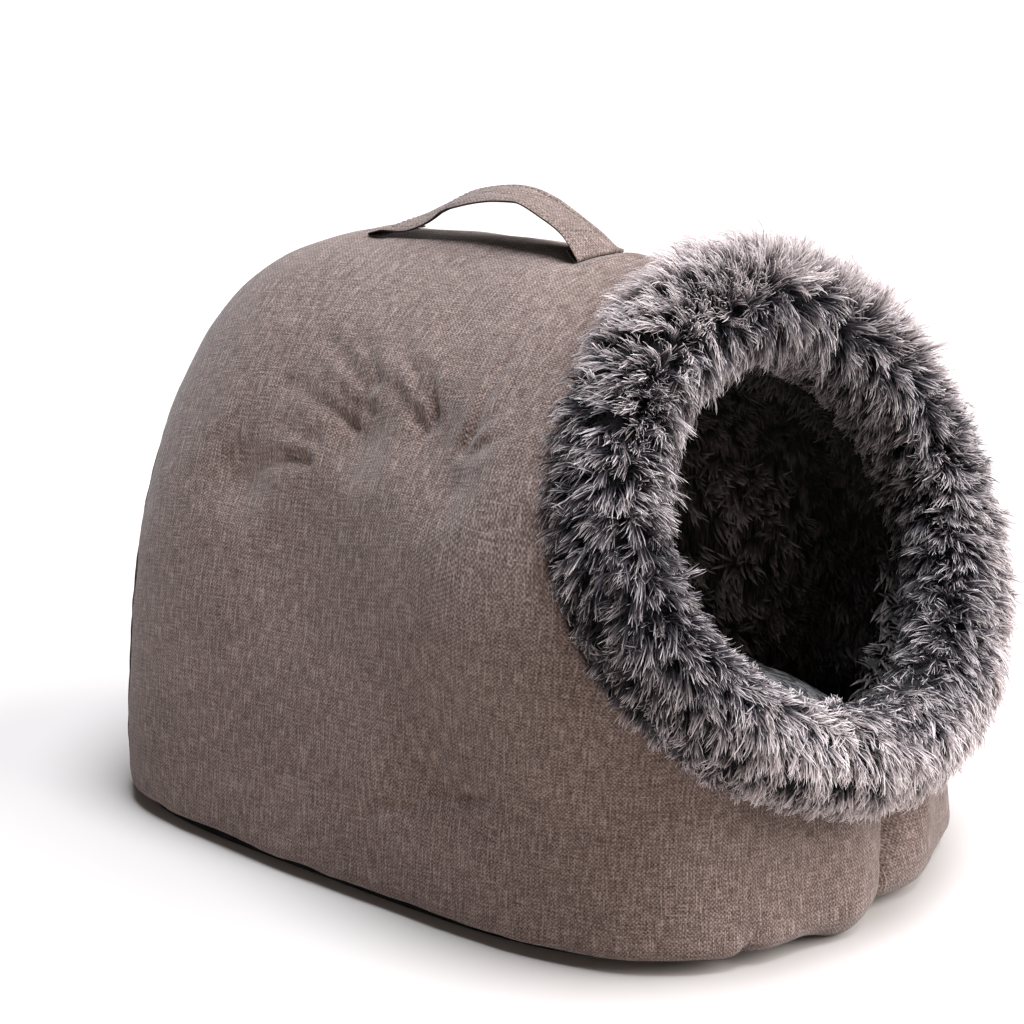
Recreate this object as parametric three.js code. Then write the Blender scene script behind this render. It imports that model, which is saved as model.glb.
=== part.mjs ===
// A pet cave bed of padded linen-look cloth: a loaf-shaped shell on a flat base, with a slanted
// round mouth in a long-pile collar, a plush-lined inside, a filled cushion and a carry strap.
// Millimetres, +Z up. The mouth faces -Y, the base lies on z = 0, and x = 0 halves the bed.
import * as THREE from "three";

// Driving dimensions of the padded shell.
const HALF_WIDTH = 132;
const BACK_REACH = 184.5;
const FRONT_REACH = 186;
const HEIGHT = 265;
const WALL = 24;
const SEAM_GAP = 0.3;

// How the shell is rounded: superellipse powers, where a higher power is a squarer corner.
const SHELL_ROUNDING = {
  arch: 2.23,
  foot: 4.06,
  back: 5.5,
  front: 2.9,
  slant: 4.9,
};
const SPRING_HEIGHT = 15.5; // the arch springs from here, and the foot rolls in below it
const FOOT_DEPTH = 18.5;
const FRONT_START = 22.7; // the plan starts to round this far in front of the origin
const SLANT_REACH = 243.4;
const SLANT_LEAN = THREE.MathUtils.degToRad(18.7);
const BACK_DROP = 0.022;
const FRONT_DROP = 0.02;
const BACK_TAPER = 0.024;

// The collar's centre line is an ellipse that leans back, with its two sides bent to the rear.
const COLLAR = {
  y: -136,
  z: 162.7,
  halfWidth: 115.2,
  halfHeight: 96.2,
  lean: THREE.MathUtils.degToRad(27.3),
  power: 1.87,
  sideBend: 10.5,
  rollRadius: 22.5,
};

// Where the shell meets its base cloth and its back panel.
const BASE_THICKNESS = 4.5;
const BASE_SEAM_Z = BASE_THICKNESS + SEAM_GAP;
const BACK_SEAM_Y = 164;
const SEAM_DIP = 2.2;

const LINING = 4;
const HUB = new THREE.Vector3(0, 0, 0.42 * HEIGHT);

const CLOTH = { color: 0x8a7d76, roughness: 0.95, metalness: 0 };
const BLACK_CLOTH = { color: 0x1b1a1c, roughness: 0.9, metalness: 0 };
const PLUSH = { color: 0x4a4341, roughness: 1, metalness: 0 };
const FUR = { color: 0x77757b, roughness: 1, metalness: 0 };
const SHORT_PILE = { color: 0x5a5759, roughness: 1, metalness: 0 };

// The shell's sizes when it is drawn a set distance inside its outer face. It stays open at the
// rear, where the back panel closes it.
function shellInset(inset) {
  return {
    halfWidth: HALF_WIDTH - inset,
    back: BACK_REACH,
    front: FRONT_REACH - inset,
    height: HEIGHT - inset,
    slantReach: SLANT_REACH - inset,
    footDepth: inset > 0 ? Infinity : FOOT_DEPTH,
  };
}

function superNorm(a, b, power) {
  return (Math.abs(a) ** power + Math.abs(b) ** power) ** (1 / power);
}

// Under 1 inside the shell, over 1 outside it.
function shellLevel(p, size) {
  const rear = Math.max(p.y, 0) / size.back;
  const fore = Math.max(-p.y, 0) / size.front;
  const top = size.height * (1 - BACK_DROP * rear ** 2 - FRONT_DROP * fore ** 2);
  const half = size.halfWidth * (1 - BACK_TAPER * rear ** 2);
  const rise = Math.max(p.z - SPRING_HEIGHT, 0) / (top - SPRING_HEIGHT);
  const dip = Math.max(SPRING_HEIGHT - p.z, 0) / size.footDepth;
  const section = Math.max(
    superNorm(p.x / half, rise, SHELL_ROUNDING.arch),
    superNorm(p.x / half, dip, SHELL_ROUNDING.foot),
  );
  const front = Math.max(-p.y - FRONT_START, 0) / (size.front - FRONT_START);
  const loaf = Math.max(
    superNorm(section, rear, SHELL_ROUNDING.back),
    superNorm(section, front, SHELL_ROUNDING.front),
  );
  const slant = (p.z * Math.sin(SLANT_LEAN) - p.y * Math.cos(SLANT_LEAN)) / size.slantReach;
  return superNorm(loaf, Math.max(slant, 0), SHELL_ROUNDING.slant);
}

// The point where a line from start, along a direction, leaves the shell of a size.
function leaveShell(start, direction, size) {
  let near = 0;
  let far = 2 * (BACK_REACH + HEIGHT);
  const p = new THREE.Vector3();
  for (let step = 0; step < 36; step += 1) {
    const middle = (near + far) / 2;
    p.copy(start).addScaledVector(direction, middle);
    if (shellLevel(p, size) < 1) near = middle;
    else far = middle;
  }
  return start.clone().addScaledVector(direction, near);
}

function outwardAt(p, size) {
  const step = 0.5;
  const slope = (axis) => {
    const ahead = p.clone().addScaledVector(axis, step);
    const behind = p.clone().addScaledVector(axis, -step);
    return shellLevel(ahead, size) - shellLevel(behind, size);
  };
  const x = slope(new THREE.Vector3(1, 0, 0));
  const y = slope(new THREE.Vector3(0, 1, 0));
  const z = slope(new THREE.Vector3(0, 0, 1));
  return new THREE.Vector3(x, y, z).normalize();
}

// The collar's roll at an angle round the mouth, 0 at +X and a quarter turn at the top.
function rollFrame(angle) {
  const { y, z, halfWidth, halfHeight, lean, power, sideBend } = COLLAR;
  const across = new THREE.Vector3(1, 0, 0);
  const upward = new THREE.Vector3(0, Math.sin(lean), Math.cos(lean));
  const rearward = new THREE.Vector3(0, Math.cos(lean), -Math.sin(lean));
  const centreAt = (a) => {
    const c = Math.cos(a);
    const s = Math.sin(a);
    const k = 1 / superNorm(c, s, power);
    return new THREE.Vector3(0, y, z)
      .addScaledVector(across, c * k * halfWidth)
      .addScaledVector(upward, s * k * halfHeight)
      .addScaledVector(rearward, sideBend * (c * k) ** 2);
  };
  const centre = centreAt(angle);
  const along = centreAt(angle + 0.01).sub(centreAt(angle - 0.01)).normalize();
  const outward = new THREE.Vector3().crossVectors(rearward, along).normalize();
  const back = new THREE.Vector3().crossVectors(along, outward).normalize();
  return { centre, outward, back };
}

// A point beside the collar's centre line: turn 0 faces away from the mouth, a quarter turn the rear.
function besideRoll(angle, turn, radius) {
  const frame = rollFrame(angle);
  return frame.centre
    .clone()
    .addScaledVector(frame.outward, radius * Math.cos(turn))
    .addScaledVector(frame.back, radius * Math.sin(turn));
}

// Columns run round the shell, half of them along its base edge and half up its back arch.
const BASE_COLUMNS = 23;
const ARCH_COLUMNS = 17;
const HALF_COLUMNS = BASE_COLUMNS + ARCH_COLUMNS;
const COLUMNS = 2 * HALF_COLUMNS;
const BASE_CROWDING = 0.7; // columns stand closer beside the front seam and the rear corner
const ARCH_CROWDING = 1.25;
const MOUTH_SHARE_OF_BASE = 0.45; // how far up the mouth the base edge's last column starts

const smoothStep = (t) => t * t * (3 - 2 * t);
const sharesTo = (count) => Array.from({ length: count + 1 }, (_, i) => i / count);

// A column's place: side is -1 on the left and 1 on the right, and half runs from seam to ridge.
function columnPlace(column) {
  const left = column <= HALF_COLUMNS;
  const index = left ? column : COLUMNS - column;
  const onBase = index <= BASE_COLUMNS;
  const even = Math.min(index / BASE_COLUMNS, 1);
  const base = THREE.MathUtils.lerp(even, smoothStep(even), BASE_CROWDING);
  const arch = Math.max((index - BASE_COLUMNS) / ARCH_COLUMNS, 0) ** ARCH_CROWDING;
  const mouth = onBase
    ? MOUTH_SHARE_OF_BASE * base
    : MOUTH_SHARE_OF_BASE + (1 - MOUTH_SHARE_OF_BASE) * arch;
  const angle = -Math.PI / 2 + (left ? -1 : 1) * Math.PI * mouth;
  return { side: left ? -1 : 1, onBase, base, arch, angle };
}

// A point a share of the way along a polyline, by length.
function alongLine(points, share) {
  const lengths = [0];
  for (let i = 1; i < points.length; i += 1) {
    lengths.push(lengths[i - 1] + points[i].distanceTo(points[i - 1]));
  }
  const wanted = share * lengths.at(-1);
  let i = 1;
  while (i < points.length - 1 && lengths[i] < wanted) i += 1;
  const part = (wanted - lengths[i - 1]) / (lengths[i] - lengths[i - 1]);
  return points[i - 1].clone().lerp(points[i], part);
}

// The left half of the shell's outer edge: along the base from the front seam, then up the arch.
function shellEdge(size) {
  const samples = 240;
  const foot = new THREE.Vector3(0, 0, BASE_SEAM_Z);
  const rearFoot = new THREE.Vector3(0, BACK_SEAM_Y, BASE_SEAM_Z);
  const base = [];
  const arch = [];
  for (let i = 0; i <= samples; i += 1) {
    const turn = (Math.PI * i) / samples;
    const level = new THREE.Vector3(-Math.sin(turn), -Math.cos(turn), 0);
    const p = leaveShell(foot, level, size);
    if (p.y < BACK_SEAM_Y) base.push(p);
    const upright = new THREE.Vector3(-Math.cos(turn / 2), 0, Math.sin(turn / 2));
    arch.push(leaveShell(rearFoot, upright, size));
  }
  base.push(arch[0]);
  return { base, arch };
}

// The shell's rim at the mouth lies beside the collar's roll, at one turn for each skin.
const ROLL_CLEAR = COLLAR.rollRadius + 0.9;
const OUTER_TURN = THREE.MathUtils.degToRad(45);
const INNER_TURN = THREE.MathUtils.degToRad(115);
const RIM_REACH = { below: 22, above: 80 }; // degrees of the shell that the roll shapes

// One skin of the shell as rows of points, from the mouth's rim to the outer edge. Near the mouth
// it leaves the superellipse and runs straight to the roll.
function skinRows({ size, rimTurn, shares }) {
  const edge = shellEdge(size);
  const columns = Array.from({ length: COLUMNS }, (_, column) => {
    const place = columnPlace(column);
    const start = besideRoll(place.angle, rimTurn, ROLL_CLEAR);
    const end = place.onBase ? alongLine(edge.base, place.base) : alongLine(edge.arch, place.arch);
    end.x = Math.abs(end.x) * place.side;
    const toStart = start.clone().sub(HUB).normalize();
    const toEnd = end.clone().sub(HUB).normalize();
    const miss = start.clone().sub(leaveShell(HUB, toStart, size));
    const turn = toStart.angleTo(toEnd);
    const upMouth = smoothStep((1 + Math.sin(place.angle)) / 2);
    const degrees = THREE.MathUtils.lerp(RIM_REACH.below, RIM_REACH.above, upMouth);
    const reach = THREE.MathUtils.degToRad(degrees) / turn;
    return { end, toStart, toEnd, miss, turn, reach };
  });
  return shares.map((share) => columns.map(({ end, toStart, toEnd, miss, turn, reach }) => {
    if (share === 1) return end.clone();
    const direction = toStart
      .clone()
      .multiplyScalar(Math.sin((1 - share) * turn))
      .addScaledVector(toEnd, Math.sin(share * turn))
      .normalize();
    const hold = smoothStep(Math.max(0, 1 - share / reach));
    return leaveShell(HUB, direction, size).addScaledVector(miss, hold);
  }));
}

// Moves each point of a skin inwards. The last row keeps to the planes of its seams.
function sinkRows(rows, size, depthAt) {
  return rows.map((row, index) => row.map((p) => {
    const inward = outwardAt(p, size).negate();
    if (index === rows.length - 1) {
      if (p.y > BACK_SEAM_Y - 0.1) inward.y = 0;
      else inward.z = 0;
    }
    if (Math.abs(p.x) < 1e-6) inward.x = 0;
    return p.clone().addScaledVector(inward, depthAt(p, index));
  }));
}

// Troughs that stay in the padding of the left side. Places and reaches follow y and z there.
const PRESSED = [
  { y: 90, z: 168, depth: 6, reachY: 16, reachZ: 15 },
  { y: 24, z: 197, depth: 6.5, reachY: 18, reachZ: 15 },
  { y: -18, z: 202, depth: 6.5, reachY: 17, reachZ: 15 },
  { y: -40, z: 190, depth: 5.5, reachY: 15, reachZ: 16 },
  { y: -44, z: 60, depth: 5, reachY: 22, reachZ: 16 },
  { y: 35, z: 140, depth: 5, reachY: 65, reachZ: 50 },
];
const CREASES = [
  { fromY: 74, fromZ: 207, toY: 32, toZ: 200, width: 7.5, depth: 2.2 },
  { fromY: 61, fromZ: 227, toY: 25, toZ: 210, width: 7.5, depth: 2.2 },
  { fromY: 23, fromZ: 219, toY: -8, toZ: 206, width: 7.5, depth: 2.2 },
  { fromY: 0, fromZ: 226, toY: -14, toZ: 210, width: 7.5, depth: 2 },
  { fromY: -44, fromZ: 228, toY: -40, toZ: 202, width: 7.5, depth: 2 },
  { fromY: -62, fromZ: 211, toY: -42, toZ: 197, width: 7.5, depth: 2 },
  { fromY: 50, fromZ: 182, toY: 84, toZ: 174, width: 7.5, depth: 2.2 },
];

function creaseDistance(p, { fromY, fromZ, toY, toZ }) {
  const alongY = toY - fromY;
  const alongZ = toZ - fromZ;
  const reach = (p.y - fromY) * alongY + (p.z - fromZ) * alongZ;
  const share = Math.min(Math.max(reach / (alongY ** 2 + alongZ ** 2), 0), 1);
  return Math.hypot(p.y - fromY - share * alongY, p.z - fromZ - share * alongZ);
}

function troughDepth(p) {
  if (p.x > 0) return 0;
  const pressed = PRESSED.reduce((sum, { y, z, depth, reachY, reachZ }) => {
    const away = ((p.y - y) / reachY) ** 2 + ((p.z - z) / reachZ) ** 2;
    return sum + depth * Math.exp(-away);
  }, 0);
  return CREASES.reduce((sum, crease) => {
    const away = (creaseDistance(p, crease) / crease.width) ** 2;
    return sum + crease.depth * Math.exp(-away);
  }, pressed);
}

// The two ends of the shell's cloth meet in a pulled-in seam under the collar.
const FRONT_SEAM = { depth: 9, reach: 9 };

function frontSeamDepth(p) {
  if (p.y > 0 || p.z > HUB.z) return 0;
  return FRONT_SEAM.depth * Math.exp(-Math.abs(p.x) / FRONT_SEAM.reach);
}

// A closed mesh from rows of points, each row a closed ring, with each four-sided cell split along
// its shorter diagonal. Capped, the first and last rows are closed by fans to their middles.
// Otherwise the last row joins the first.
function ringSolid(rows, capped) {
  const columns = rows[0].length;
  const points = rows.flat();
  const faces = [];
  const bands = capped ? rows.length - 1 : rows.length;
  for (let row = 0; row < bands; row += 1) {
    const here = row * columns;
    const below = ((row + 1) % rows.length) * columns;
    for (let column = 0; column < columns; column += 1) {
      const next = (column + 1) % columns;
      const [a, b, c, d] = [here + column, here + next, below + next, below + column];
      const fromA = points[a].distanceTo(points[c]) < points[b].distanceTo(points[d]);
      faces.push(...(fromA ? [a, b, c, a, c, d] : [a, b, d, b, c, d]));
    }
  }
  const addCap = (row, turned) => {
    const middle = new THREE.Vector3();
    rows[row].forEach((p) => middle.addScaledVector(p, 1 / columns));
    points.push(middle);
    for (let column = 0; column < columns; column += 1) {
      const a = row * columns + column;
      const b = row * columns + ((column + 1) % columns);
      faces.push(turned ? b : a, turned ? a : b, points.length - 1);
    }
  };
  if (capped) {
    addCap(0, true);
    addCap(rows.length - 1, false);
  }
  const geometry = new THREE.BufferGeometry().setFromPoints(points);
  geometry.setIndex(faces);
  geometry.computeVertexNormals();
  return geometry;
}

// The padded cloth round the sides, the top and the front, as a ring of outer and inner skin.
const EDGE_ROW_SHARE = 0.985;
const INNER_SHARES = sharesTo(9).map((t) => 1 - (1 - t) ** 1.5); // closer at the rear corner

function wallInnerRows() {
  return skinRows({
    size: shellInset(WALL),
    rimTurn: INNER_TURN,
    shares: INNER_SHARES,
  });
}

function wrapPanelGeometry() {
  const size = shellInset(0);
  const shares = [...sharesTo(25).slice(0, -1), EDGE_ROW_SHARE, 1];
  const skin = skinRows({ size, rimTurn: OUTER_TURN, shares });
  const outer = sinkRows(skin, size, (p, index) => {
    if (index === 0) return 0;
    const dip = index === shares.length - 1 ? SEAM_DIP : 0;
    return dip + troughDepth(p) + frontSeamDepth(p);
  });
  const rim = [1, 2].map((step) => {
    const turn = THREE.MathUtils.lerp(INNER_TURN, OUTER_TURN, step / 3);
    return skin[0].map((_, column) => besideRoll(columnPlace(column).angle, turn, ROLL_CLEAR));
  });
  return ringSolid([...outer, ...wallInnerRows().reverse(), ...rim], false);
}

// The plush lining of the walls and roof, a thick sheet that backs on to the padding.
const LINING_GAP = 0.6;

function wallLiningRows(depth) {
  return sinkRows(wallInnerRows(), shellInset(WALL), () => depth);
}

function wallLiningGeometry() {
  const outer = wallLiningRows(LINING_GAP);
  const inner = wallLiningRows(LINING_GAP + LINING);
  return ringSolid([...outer, ...inner.reverse()], false);
}

// A closed outline at the rear: the arch from the left corner to the right one, then the base edge.
const REAR_BASE_COLUMNS = 14;

function closeAcrossBase(arch) {
  const left = arch[0];
  const right = arch.at(-1);
  const base = sharesTo(REAR_BASE_COLUMNS).slice(1, -1);
  return [...arch, ...base.map((share) => right.clone().lerp(left, share))];
}

function archColumns(row) {
  return row.slice(BASE_COLUMNS, COLUMNS - BASE_COLUMNS + 1);
}

// The padded back panel: flat against the inside, swelling to the rear from its seam.
function backPanelGeometry() {
  const size = shellInset(0);
  const seam = skinRows({ size, rimTurn: OUTER_TURN, shares: [1] });
  const face = BACK_SEAM_Y + SEAM_GAP;
  const outline = closeAcrossBase(archColumns(seam[0]));
  outline.forEach((p) => p.setY(face));
  const hub = new THREE.Vector3(0, face, HUB.z);
  const onBase = (p) => p.z < BASE_SEAM_Z + 0.1;
  const dipped = outline.map((p) => {
    const inward = hub.clone().sub(p).normalize();
    if (onBase(p)) inward.z = 0;
    return p.clone().addScaledVector(inward, SEAM_DIP);
  });
  const rear = new THREE.Vector3(0, 1, 0);
  const swell = [0.985, 0.95, 0.88, 0.76, 0.6, 0.4, 0.2].map((share, index) => (
    outline.map((p) => {
      const start = hub.clone().lerp(p, share);
      if (index === 0 && onBase(p)) start.z = BASE_SEAM_Z;
      return leaveShell(start, rear, size);
    })
  ));
  return ringSolid([dipped, ...swell], true);
}

// The plush lining of the back, a flat sheet inside the wall lining.
function backLiningGeometry() {
  const arch = archColumns(wallLiningRows(LINING_GAP + LINING).at(-1));
  const outline = closeAcrossBase(arch);
  const hub = new THREE.Vector3(0, BACK_SEAM_Y, HUB.z);
  const rear = BACK_SEAM_Y - SEAM_GAP;
  const level = [
    { y: rear, inset: 0.5 },
    { y: rear - LINING + 1.2, inset: 0.5 },
    { y: rear - LINING, inset: 1.7 },
  ];
  const rows = level.map(({ y, inset }) => outline.map((p) => {
    const inward = hub.clone().sub(p).normalize();
    const q = p.clone().addScaledVector(inward, inset);
    q.z = Math.max(q.z, BASE_SEAM_Z);
    return q.setY(y);
  }));
  return ringSolid(rows.reverse(), true);
}

// A level outline round the shell, at a height and a distance in from one of its skins.
function levelOutline(size, z, count, insetAt) {
  const middle = new THREE.Vector3(0, 0, z);
  return Array.from({ length: count }, (_, i) => {
    const turn = (2 * Math.PI * i) / count;
    const direction = new THREE.Vector3(Math.sin(turn), -Math.cos(turn), 0);
    const p = leaveShell(middle, direction, size);
    return p.addScaledVector(direction, -insetAt(p));
  });
}

// The base: black non-slip cloth over thin board, set back under the shell and more so in front.
const BASE = { sideInset: 4, frontInset: 12, edge: 1.2, columns: 72 };

function baseInset(p) {
  const fore = Math.min(Math.max(-p.y / FRONT_REACH, 0), 1);
  return THREE.MathUtils.lerp(BASE.sideInset, BASE.frontInset, smoothStep(fore));
}

function basePanelGeometry() {
  const size = shellInset(0);
  const levels = [
    { z: 0, tuck: BASE.edge },
    { z: BASE.edge, tuck: 0 },
    { z: BASE_THICKNESS - BASE.edge, tuck: 0 },
    { z: BASE_THICKNESS, tuck: BASE.edge },
  ];
  const rows = levels.map(({ z, tuck }) => {
    const outline = levelOutline(size, BASE_SEAM_Z, BASE.columns, (p) => baseInset(p) + tuck);
    return outline.map((p) => p.setZ(z));
  });
  return ringSolid(rows, true);
}

// The cushion: one filled pad that covers the floor inside, crowned and drawn in at its edges.
const CUSHION = { height: 57, crown: 5, columns: 60, clear: 1.6, rear: BACK_SEAM_Y - LINING - 1 };
const CUSHION_SIDE = [
  { rise: 0, tuck: 9 },
  { rise: 0.07, tuck: 4.5 },
  { rise: 0.22, tuck: 1.2 },
  { rise: 0.45, tuck: 0 },
  { rise: 0.7, tuck: 1.2 },
  { rise: 0.87, tuck: 4.5 },
  { rise: 0.97, tuck: 10 },
];

function cushionGeometry() {
  const size = shellInset(WALL + LINING_GAP + LINING + CUSHION.clear);
  const limit = (p) => p.setY(Math.min(p.y, CUSHION.rear));
  const side = CUSHION_SIDE.map(({ rise, tuck }) => {
    const z = BASE_SEAM_Z + rise * CUSHION.height;
    const outline = levelOutline(size, BASE_SEAM_Z + CUSHION.height / 2, CUSHION.columns, () => 0);
    return outline.map((p) => {
      limit(p);
      const reach = Math.hypot(p.x, p.y);
      return p.multiplyScalar(1 - tuck / reach).setZ(z);
    });
  });
  const rim = side.at(-1);
  const crowned = [0.85, 0.66, 0.42, 0.2].map((share) => rim.map((p) => {
    const z = BASE_SEAM_Z + CUSHION.height + CUSHION.crown * (1 - share ** 2);
    return new THREE.Vector3(p.x * share, p.y * share, z);
  }));
  return ringSolid([...side, ...crowned], true);
}

// The long-pile collar: a lumpy roll. Its pile stands in locks that lean back over the cloth at the
// outer rim and into the mouth at the inner one, and in a few more along the front.
const PILE = { columns: 112, rows: 18, depth: 2.5, lump: 1.1, lock: 5.5, lean: 0.16 };
const SEWN_ROWS = [2, 3, 4, 5, 6];
const LOCK_ROWS = [
  { row: 17, every: 2, lean: 1 },
  { row: 0, every: 2, lean: 1 },
  { row: 9, every: 2, lean: -1 },
  { row: 10, every: 2, lean: -1 },
  { row: 13, every: 4, lean: 0 },
];

function pileLumps(angle, turn) {
  const drift = 2.2 * Math.sin(3 * angle);
  return Math.sin(27 * angle + 2 * turn + drift)
    + 0.8 * Math.sin(17 * angle - 3 * turn)
    + 0.6 * Math.sin(5 * angle + turn);
}

function pilePoint(column, row) {
  const angle = (2 * Math.PI * column) / PILE.columns;
  const turn = (2 * Math.PI * row) / PILE.rows;
  if (SEWN_ROWS.includes(row)) return besideRoll(angle, turn, COLLAR.rollRadius);
  const radius = COLLAR.rollRadius + PILE.depth + PILE.lump * pileLumps(angle, turn);
  const locks = LOCK_ROWS.find((line) => line.row === row);
  if (!locks || (column + row) % locks.every !== 0) return besideRoll(angle, turn, radius);
  const uneven = Math.sin(7.3 * column + 4.1 * row);
  const reach = PILE.lock * (1 + 0.3 * uneven);
  const sway = 0.025 * Math.sin(3.7 * column + row);
  return besideRoll(angle + sway, turn + PILE.lean * locks.lean, radius + reach);
}

function collarGeometry() {
  const rows = Array.from({ length: PILE.rows }, (_, row) => (
    Array.from({ length: PILE.columns }, (_, column) => pilePoint(column, row))
  ));
  return ringSolid(rows.reverse(), false);
}

// The carry strap along the ridge: a flat strap whose two ends are turned under and stitched down.
const STRAP = { front: -27, rear: 94, halfWidth: 16.5, layer: 1.6, foldGap: 0.5, turnedUnder: 12 };
const STRAP_RISE = [
  { y: -24, left: 6.3, right: 3.2 },
  { y: -18, left: 10.1, right: 5.3 },
  { y: -7, left: 14.3, right: 9.4 },
  { y: 4, left: 18.7, right: 13.9 },
  { y: 10, left: 19.4, right: 16.2 },
  { y: 20, left: 18.1, right: 18.9 },
  { y: 30, left: 16.2, right: 20.1 },
  { y: 40, left: 13.8, right: 19.9 },
  { y: 49, left: 11.3, right: 18.9 },
  { y: 57, left: 6.4, right: 17.4 },
  { y: 65, left: 3.6, right: 14.6 },
  { y: 73, left: 2.9, right: 11.2 },
  { y: 81, left: 2.6, right: 7.4 },
  { y: 88, left: 2.5, right: 4.2 },
];

function ridgeHeight(x, y) {
  const start = new THREE.Vector3(x, y, HUB.z);
  return leaveShell(start, new THREE.Vector3(0, 0, 1), shellInset(0)).z;
}

// One lengthwise line of the strap, as y and height over the ridge of the cloth's middle.
function strapLine(side) {
  const { front, rear, layer, foldGap, turnedUnder } = STRAP;
  const low = SEAM_GAP + layer / 2;
  const radius = (layer + foldGap) / 2;
  const bend = (y, sign) => [-60, -20, 20, 60].map((degrees) => {
    const turn = THREE.MathUtils.degToRad(degrees);
    const rise = low + radius + radius * Math.sin(turn);
    return { y: y + sign * radius * Math.cos(turn), rise };
  });
  const under = (y, sign) => [1, 0.55, 0.1].map((share) => (
    { y: y - sign * share * turnedUnder, rise: low }
  ));
  const share = (side + 1) / 2;
  const top = STRAP_RISE.map(({ y, left, right }) => (
    { y, rise: THREE.MathUtils.lerp(left, right, share) + layer / 2 }
  ));
  return [
    ...under(front + radius, -1),
    ...bend(front + radius, -1),
    ...top,
    ...bend(rear - radius, 1).reverse(),
    ...under(rear - radius, 1).reverse(),
  ];
}

function strapGeometry() {
  const sides = [-1, 0, 1];
  const lines = sides.map((side) => {
    const x = side * STRAP.halfWidth;
    return strapLine(side).map(({ y, rise }) => new THREE.Vector3(x, y, ridgeHeight(x, y) + rise));
  });
  const stations = lines[0].map((_, i) => {
    const faces = lines.map((line) => {
      const before = line[Math.max(i - 1, 0)];
      const after = line[Math.min(i + 1, line.length - 1)];
      const forward = after.clone().sub(before).setX(0).normalize();
      const normal = new THREE.Vector3(0, -forward.z, forward.y).multiplyScalar(STRAP.layer / 2);
      return { upper: line[i].clone().add(normal), lower: line[i].clone().sub(normal) };
    });
    return [...faces.map((face) => face.upper), ...faces.map((face) => face.lower).reverse()];
  });
  return ringSolid(stations, true);
}

function meshOf(name, geometry, finish) {
  const mesh = new THREE.Mesh(geometry, new THREE.MeshStandardMaterial(finish));
  mesh.name = name;
  return mesh;
}

const bed = new THREE.Group();
bed.add(
  meshOf("base_panel", basePanelGeometry(), BLACK_CLOTH),
  meshOf("wrap_panel", wrapPanelGeometry(), CLOTH),
  meshOf("back_panel", backPanelGeometry(), CLOTH),
  meshOf("wall_lining", wallLiningGeometry(), PLUSH),
  meshOf("back_lining", backLiningGeometry(), PLUSH),
  meshOf("cushion", cushionGeometry(), SHORT_PILE),
  meshOf("collar", collarGeometry(), FUR),
  meshOf("carry_strap", strapGeometry(), CLOTH),
);

export default bed;
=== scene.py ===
import functools
import math

import bpy
import numpy as np
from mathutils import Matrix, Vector, noise as smooth_noise
from mathutils.bvhtree import BVHTree


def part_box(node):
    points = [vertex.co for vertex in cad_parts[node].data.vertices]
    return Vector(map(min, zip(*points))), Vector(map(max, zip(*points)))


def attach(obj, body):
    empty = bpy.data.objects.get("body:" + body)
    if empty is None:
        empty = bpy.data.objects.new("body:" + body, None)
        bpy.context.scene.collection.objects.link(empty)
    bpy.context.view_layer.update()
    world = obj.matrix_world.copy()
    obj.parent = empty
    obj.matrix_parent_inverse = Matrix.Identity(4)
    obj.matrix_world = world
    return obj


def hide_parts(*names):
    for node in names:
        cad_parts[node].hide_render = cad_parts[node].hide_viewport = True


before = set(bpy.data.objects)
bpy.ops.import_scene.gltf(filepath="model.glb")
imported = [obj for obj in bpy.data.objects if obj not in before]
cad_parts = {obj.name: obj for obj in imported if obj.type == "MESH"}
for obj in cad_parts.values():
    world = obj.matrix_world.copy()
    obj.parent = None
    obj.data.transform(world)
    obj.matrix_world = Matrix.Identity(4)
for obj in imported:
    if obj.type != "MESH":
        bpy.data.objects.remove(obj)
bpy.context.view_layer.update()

# The base: black non-slip cloth laid over a thin board, the whole underside of the bed. Its edge
# follows the foot of the padded shell, a little inside it, and more so in front, so that it shows
# only as a dark line along the floor.
# The padded shell's own form, which the base, the wrap, the back and the linings follow.
HALF_WIDTH = 0.132
BACK_REACH = 0.1845
FRONT_REACH = 0.186
HEIGHT = 0.265
SPRING_HEIGHT = 0.0155
FOOT_DEPTH = 0.0185
FRONT_START = 0.0227
SLANT_REACH = 0.2434
SLANT_LEAN = math.radians(18.7)
BACK_DROP = 0.022
FRONT_DROP = 0.02
BACK_TAPER = 0.024
ARCH_ROUND = 2.23
FOOT_ROUND = 4.06
BACK_ROUND = 5.5
FRONT_ROUND = 2.9
SLANT_ROUND = 4.9
HALVINGS = 26

BOARD_THICKNESS = 0.0045
BOARD_EDGE = 0.0013
# The board's rounded edge, from below: the height and the tuck of each row, in edge radii.
BOARD_EDGE_ROWS = ((0, 1), (0.4, 0.35), (1, 0), (2.5, 0), (3.1, 0.35), (3.46, 1))
BOARD_MIDDLE = (0.6, 0.6, 1)
BOARD_SIDE_INSET = 0.004
BOARD_FRONT_INSET = 0.012
BOARD_COLUMNS = 240
SEAM_GAP = 0.0003
BASE_SEAM_Z = BOARD_THICKNESS + SEAM_GAP


def super_norm(a, b, power):
    return (np.abs(a) ** power + np.abs(b) ** power) ** (1 / power)


def smooth(t):
    t = np.clip(t, 0, 1)
    return t * t * (3 - 2 * t)


def hill(place, middle, reach, power=2):
    """A soft bump of height 1 at the middle, which dies out over the reach."""
    return np.exp(-(((place - middle) / reach) ** power))


def shell_top(y, inset=0.0):
    """The height of the shell's ridge, which drops a little to the rear and to the front."""
    rear = np.maximum(y, 0) / BACK_REACH
    fore = np.maximum(-y, 0) / (FRONT_REACH - inset)
    return (HEIGHT - inset) * (1 - BACK_DROP * rear**2 - FRONT_DROP * fore**2)


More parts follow.
